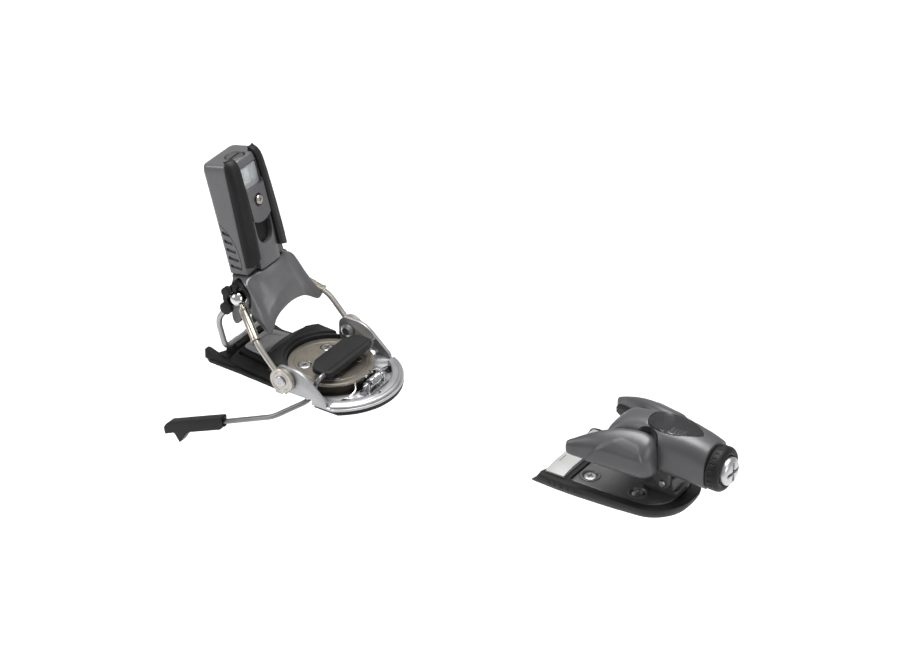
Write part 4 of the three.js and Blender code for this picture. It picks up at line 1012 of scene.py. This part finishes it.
def toe_plate():
    half = [(217.4, 28.5), (222, 29.5), (252, 28.1), (275.6, 25.6), (283.4, 20.6), (288.4, 12)]
    plate = slab("toe_plate", rounded(mirror_outline(half), 4), 3.15, TOE_PLATE_TOP, TOE)
    profile = [(5.2, 6.0), (7.6, 6.0), (7.6, 7.6), (7.0, 8.0), (5.8, 8.0), (5.2, 7.4), (5.2, 6.0)]
    rims = [turned("rim", profile, TOE @ moved(x, y, 0), 56) for x, y in TOE_SCREWS]
    soften(plate, 0.4, 2)
    cut(plate, *[screw_seat(x, y, TOE_PLATE_TOP, TOE) for x, y in TOE_SCREWS])
    stand_for(joined(plate, *rims), ["toe_plate"])
    for i, (x, y) in enumerate(TOE_SCREWS):
        screw(f"toe_screw_{i + 1}", x, y, TOE_PLATE_TOP, TOE)


def toe_post():
    low = 7.55
    foot = slab("post", rounded(rectangle(262, -7.6, 289, 7.6), 2), low, low + 4, TOE)
    web = rounded([(264, low), (287, low), (285.5, 20), (282, 22.6), (276, 22.6)], 1.5)
    joined(foot, side_slab("web", web, -7.6, 7.6, TOE))
    cut(foot, bar("bore", 2.65, -20, 20, across(*TOE_PIVOT, TOE), 40))
    stand_for(soften(foot, 0.4, 2), ["toe_post"])
    pin = [(0, -12.6), (2.0, -12.6), (2.3, -12.2), (2.3, 12.2), (2.0, 12.6), (0, 12.6)]
    stand_for(turned("pin", pin, across(*TOE_PIVOT, TOE), 40), ["toe_lift_pin"])


# x, half width, low, high, squareness
TOE_BODY = [(238, 15.5, 40, 50.5, 2.6), (241, 16, 37, 53.8, 2.7), (246, 15.2, 33, 57.0, 2.8),
            (256, 13.4, 29, 59.8, 2.9), (266, 13.8, 27.5, 61.2, 3.0), (274, 16.0, 27.0, 61.3, 3.0),
            (281, 17.4, 26.6, 61, 3.0), (290, 17.2, 26.2, 60.6, 2.9), (297, 16.4, 26, 59.8, 2.8),
            (306, 15.8, 25.3, 58.0, 2.7), (314.05, 15.3, 24.6, 55.6, 2.5)]


def toe_ring(row):
    x, half, low, high, power = row
    middle = (low + high) / 2
    return [(x, a, middle + b) for a, b in squircle(half, (high - low) / 2, power, 72, 4.5)]


def shrink(ring, keep, step):
    """A smaller copy of a ring across X, moved by step, to round off a loft's end."""
    count = len(ring)
    middle = [sum(p[k] for p in ring) / count for k in (1, 2)]
    return [(p[0] + step, middle[0] + (p[1] - middle[0]) * keep, middle[1] + (p[2] - middle[1]) * keep)
            for p in ring]


WINDOW_EDGE = [(304, 0), (292, -9.4), (282, -11.8), (273, -11.0), (266, -8.2), (263.5, 0)]


def window_outline(grow):
    """The toe window's outline, grown outwards by about grow."""
    points = WINDOW_EDGE + [(x, -y) for x, y in reversed(WINDOW_EDGE[1:-1])]
    middle, half_long, half_wide = 282, 21, 11.8
    return [(x + grow * (x - middle) / half_long, y + grow * y / half_wide)
            for x, y in spline(points, 10, closed=True)]


def toe_housing():
    rings = [toe_ring(row) for row in TOE_BODY]
    rings = smooth_rings([shrink(rings[0], 0.72, -0.6)] + rings, 4)
    body = loft("toe_body", rings, TOE)
    lug = [(284.8, 29), (275.2, 29)] + arc(*TOE_PIVOT, 4.8, 180, 360, 24)
    joined(body, *[side_slab("lug", lug, 8.1 * side, 11.8 * side, TOE) for side in (1, -1)])
    cutters = [bar("bore", 8.8, 270, 330, BARREL, 64),
               slab("window_hole", window_outline(0.4), 46, 70, TOE),
               bar("pin_bore", 2.65, -20, 20, across(*TOE_PIVOT, TOE), 40)]
    for _, side in SIDES:
        cutters.append(turned("root", [(0, 20), (11.45, 20), (11.45, 57), (10.2, 59.2), (7, 60.2), (0, 60.6)],
                              TOE @ moved(268, 21 * side, 0), 96))
    # The toe body wears graphite_dark, a darker copy of the paint with painted shade
    stand_for(soften(cut(body, *cutters), 0.3, 2, 40), ["toe_housing"], "graphite_dark", 42)


def toe_window():
    rows = [(258, 13, 60.0, 3), (270, 15.5, 60.8, 3), (281, 17, 60.7, 3), (295, 16.4, 59.7, 2.8),
            (310, 15, 57.2, 2.8)]
    rings = [toe_ring((x, half, 50, high, power)) for x, half, high, power in rows]
    dome = loft("dome", smooth_rings(rings, 4), TOE)
    combine(dome, [slab("edge", window_outline(0), 54.6, 70, TOE)], "INTERSECT")
    stand_for(soften(dome, 0.35, 3, 40), ["toe_window"], angle=40)
    flag = slab("flag", rounded(rectangle(277, -6.5, 288, 6.5), 1.2), 47.4, 52.6, TOE)
    cut(flag, *[slab("groove", rectangle(x, -8, x + 0.8, 8), 51.7, 60, TOE)
                for x in (279.4, 282, 284.6)])
    stem = slab("stem", rectangle(286, -1.1, 300.8, 1.1), 45.9, 49.6, TOE)
    nut = turned("nut", [(3.2, 297.6), (8.3, 297.6), (8.3, 301.2), (3.2, 301.2), (3.2, 297.6)], BARREL, 64)
    stand_for(soften(joined(flag, stem, nut), 0.2, 2), ["toe_indicator"])


def bezel_and_adjuster():
    profile = [(10.4, 314.4), (14.8, 314.4), (15.6, 314.9), (16, 315.9), (16, 320.8), (15.7, 322.0),
               (14.8, 323.2), (13.6, 324.0), (12.2, 324.2), (10.9, 323.8), (10.4, 323.2), (10.4, 314.4)]
    ring = turned("bezel", profile, BARREL, 120)
    notches = []
    for k in range(24):
        angle = 2 * math.pi * (k + 0.5) / 24
        middle = Vector((16.2 * math.cos(angle), 16.2 * math.sin(angle), 0))
        notches.append(turned("notch", [(0, 316.6), (0.7, 317.0), (0.7, 320.4), (0, 320.8)],
                              BARREL @ Matrix.Translation(middle), 12))
    stand_for(cut(ring, *notches), ["toe_bezel"], angle=40)
    profile = [(0, 288), (2.8, 288), (2.8, 315.6), (10, 315.6), (10, 325.6), (9.7, 326.6), (8.6, 327.6),
               (7.2, 328.2), (0, 328.7)]
    adjuster = turned("adjuster", profile, BARREL, 80)
    slots = []
    outline = rounded(rectangle(-1.3, -7.6, 1.3, 7.6), 1.2)
    for turn in (0, 90):
        place = BARREL @ Matrix.Rotation(math.radians(turn), 4, "Z")
        slots.append(slab("slot", outline, 324.6, 332, place))
    stand_for(soften(cut(adjuster, *slots), 0.25, 2), ["toe_adjuster"], "bright_metal")


# x, inner y, outer y, low, high, squareness, and how far the top falls towards the outside
WING_ROWS = [(278.7, 16.6, 25.4, 30, 48, 2.4, 4), (277.2, 14.0, 28.0, 28.4, 52.4, 2.5, 6),
             (274.6, 12.2, 30.2, 27.8, 55.6, 2.6, 8), (271, 11.0, 31.3, 27.7, 57.2, 2.7, 10),
             (267, 10.6, 31.8, 27.7, 58.0, 2.7, 11), (262, 11.4, 32.2, 27.8, 58.2, 2.7, 11),
             (256, 12.8, 32.6, 28.0, 57.8, 2.7, 10), (249, 14.9, 33.3, 28.6, 56.6, 2.7, 8.5),
             (242, 18.2, 33.8, 29.4, 54.6, 2.6, 7), (235, 22.0, 34.3, 30.2, 51.8, 2.5, 5.5),
             (228, 25.7, 34.7, 31.0, 48.4, 2.5, 4), (222, 28.9, 35.2, 31.7, 45.0, 2.4, 2.5),
             (218.6, 30.4, 35.2, 32.4, 42.9, 2.3, 1.5), (217.0, 31.6, 34.6, 33.6, 41.4, 2.2, 1)]


def bulged(x, y, z):
    """Stands the wing's outer side out below an arched crease."""
    reach = x - 263
    arch = 55.5 - (0.085 if reach > 0 else 0.023) * reach * reach
    rise = min(max((arch - z) / 1.6, 0), 1)
    outer = min(max((y - 25.5) / 3.5, 0), 1)
    return x, y + 1.1 * rise * rise * (3 - 2 * rise) * outer, z


def wing(name, side):
    rings = []
    for x, inner, outer, low, high, power, drop in WING_ROWS:
        centre, half = (inner + outer) / 2, (outer - inner) / 2
        middle, tall = (low + high) / 2, (high - low) / 2
        ring = []
        for a, b in squircle(half, tall, power, 120, 3.6):
            outward = (a + half) / (2 * half)
            ring.append((x, centre + a, middle + b - drop * outward ** 2 * max(b / tall, 0)))
        rings.append(ring)
    rings = [shrink(rings[0], 0.45, 0.35)] + rings + [shrink(rings[-1], 0.5, -0.2)]
    skin = [[bulged(*point) for point in ring] for ring in smooth_rings(rings, 8)]
    piece = loft("wing", [[(x, side * y, z) for x, y, z in ring] for ring in skin], TOE)
    # The wings wear graphite_dark, a darker copy of the paint with painted shade
    stand_for(piece, [f"wing_{name}"], "graphite_dark", 50)
    strip = []
    for x, inner, low, high in ((244, 16.8, 33, 46), (235, 21.3, 33, 43), (226, 25.8, 33.5, 40.5),
                                (219.5, 29.2, 34, 38.5)):
        corners = [(inner - 3, low, 0.5), (inner + 1.2, low, 0.1), (inner + 1.2, high, 0.1),
                   (inner - 3, high, 0.8)]
        strip.append([(x, side * y, z) for y, z in rounded_fixed(corners, 4)])
    stand_for(loft("lining", smooth_rings(strip, 4), TOE), [f"wing_pad_{name}"])


def afd_plate():
    low = 8.95
    profile = rounded([(-31, low), (31, low), (31, low + 1.4, 0.5), (22, low + 2.9, 5), (-22, low + 2.9, 5),
                       (-31, low + 1.4, 0.5)], 0.2)
    plate = front_slab("afd", profile, 199, 213.5, TOE)
    slots = [slab("slot", rounded(rectangle(201.6, y, 202.4, y + 9), 0.4), low + 2.4, 20, TOE)
             for y in (-18, -4.5, 9)]
    stand_for(soften(cut(plate, *slots), 0.5, 3), ["afd_plate"])


def build():
    mounting_disc()
    heel_base()
    heel_pad()
    turntable_frame()
    brake_plate()
    brake_bracket()
    stirrup_bridge()
    stirrup()
    heel_housing()
    window_and_drum()
    heel_cup()
    brake_pedal()
    for name, side in SIDES:
        arm(name, side)
        rail(name, side)
        knuckle(name, side)
        brake_arm(name, side)
        wing(name, side)
    toe_base()
    toe_plate()
    toe_post()
    toe_housing()
    toe_window()
    bezel_and_adjuster()
    afd_plate()


# ---- Stage ----

CAMERA_RIGHT = Vector((0.8329, 0.5535, 0.0))
CAMERA_UP = Vector((-0.2882, 0.4337, 0.8538))
CAMERA_BACK = Vector((0.4726, -0.7111, 0.5207))
CAMERA_AIM = (83.55, 34.25)
CAMERA_DISTANCE = 3523.8
CAMERA_LENS = 200
FLOOR_HALF = 6000
FLOOR_DEPTH = 240


def camera():
    data = bpy.data.cameras.new("camera")
    data.lens = CAMERA_LENS
    data.sensor_width = 36
    data.clip_end = 50
    view = bpy.data.objects.new("camera", data)
    bpy.context.scene.collection.objects.link(view)
    turn = Matrix((CAMERA_RIGHT, CAMERA_UP, CAMERA_BACK)).transposed().to_4x4()
    at = CAMERA_RIGHT * CAMERA_AIM[0] + CAMERA_UP * CAMERA_AIM[1] + CAMERA_BACK * CAMERA_DISTANCE
    view.matrix_world = Matrix.Translation(at * SCALE) @ turn
    bpy.context.scene.camera = view


def soft_box(name, place, aim, size, power):
    data = bpy.data.lights.new(name, "AREA")
    data.shape = "RECTANGLE"
    data.size, data.size_y = size
    data.energy = power
    light = bpy.data.objects.new(name, data)
    bpy.context.scene.collection.objects.link(light)
    light.location = place
    light.rotation_euler = (Vector(place) - Vector(aim)).to_track_quat("Z", "Y").to_euler()


def floor():
    bm = bmesh.new()
    half, drop = FLOOR_HALF, CAD_BOX[0][2] / SCALE - FLOOR_DEPTH
    corners = [bm.verts.new((x, y, drop))
               for x, y in ((-half, -half), (half, -half), (half, half), (-half, half))]
    bm.faces.new(corners)
    piece = add("floor", bm)
    material, shader, place = node_material("pale_floor")
    links = material.node_tree.links
    links.new(ramp(material, noise(material, place, 3, 3.0), [(0.3, 0.83), (0.7, 0.86)]),
              shader.inputs["Base Color"])
    shader.inputs["Roughness"].default_value = 0.9
    shader.inputs["Specular IOR Level"].default_value = 0.1
    piece.data.materials.append(material)


def studio():
    world = bpy.data.worlds.new("studio")
    world.use_nodes = True
    background = world.node_tree.nodes["Background"]
    background.inputs["Color"].default_value = (1, 1, 1, 1)
    background.inputs["Strength"].default_value = 0.5
    bpy.context.scene.world = world
    middle = (0.1, 0, 0.03)
    soft_box("overhead", (0.0, 0.2, 1.6), middle, (1.0, 1.0), 46)
    soft_box("front_left", (-1.3, -1.2, 0.9), middle, (0.6, 0.9), 12)
    soft_box("front_right", (1.5, -0.4, 0.6), middle, (0.7, 0.9), 7)
    bpy.context.scene.view_settings.view_transform = "Standard"


dress_frame()
build()
floor()
studio()
camera()
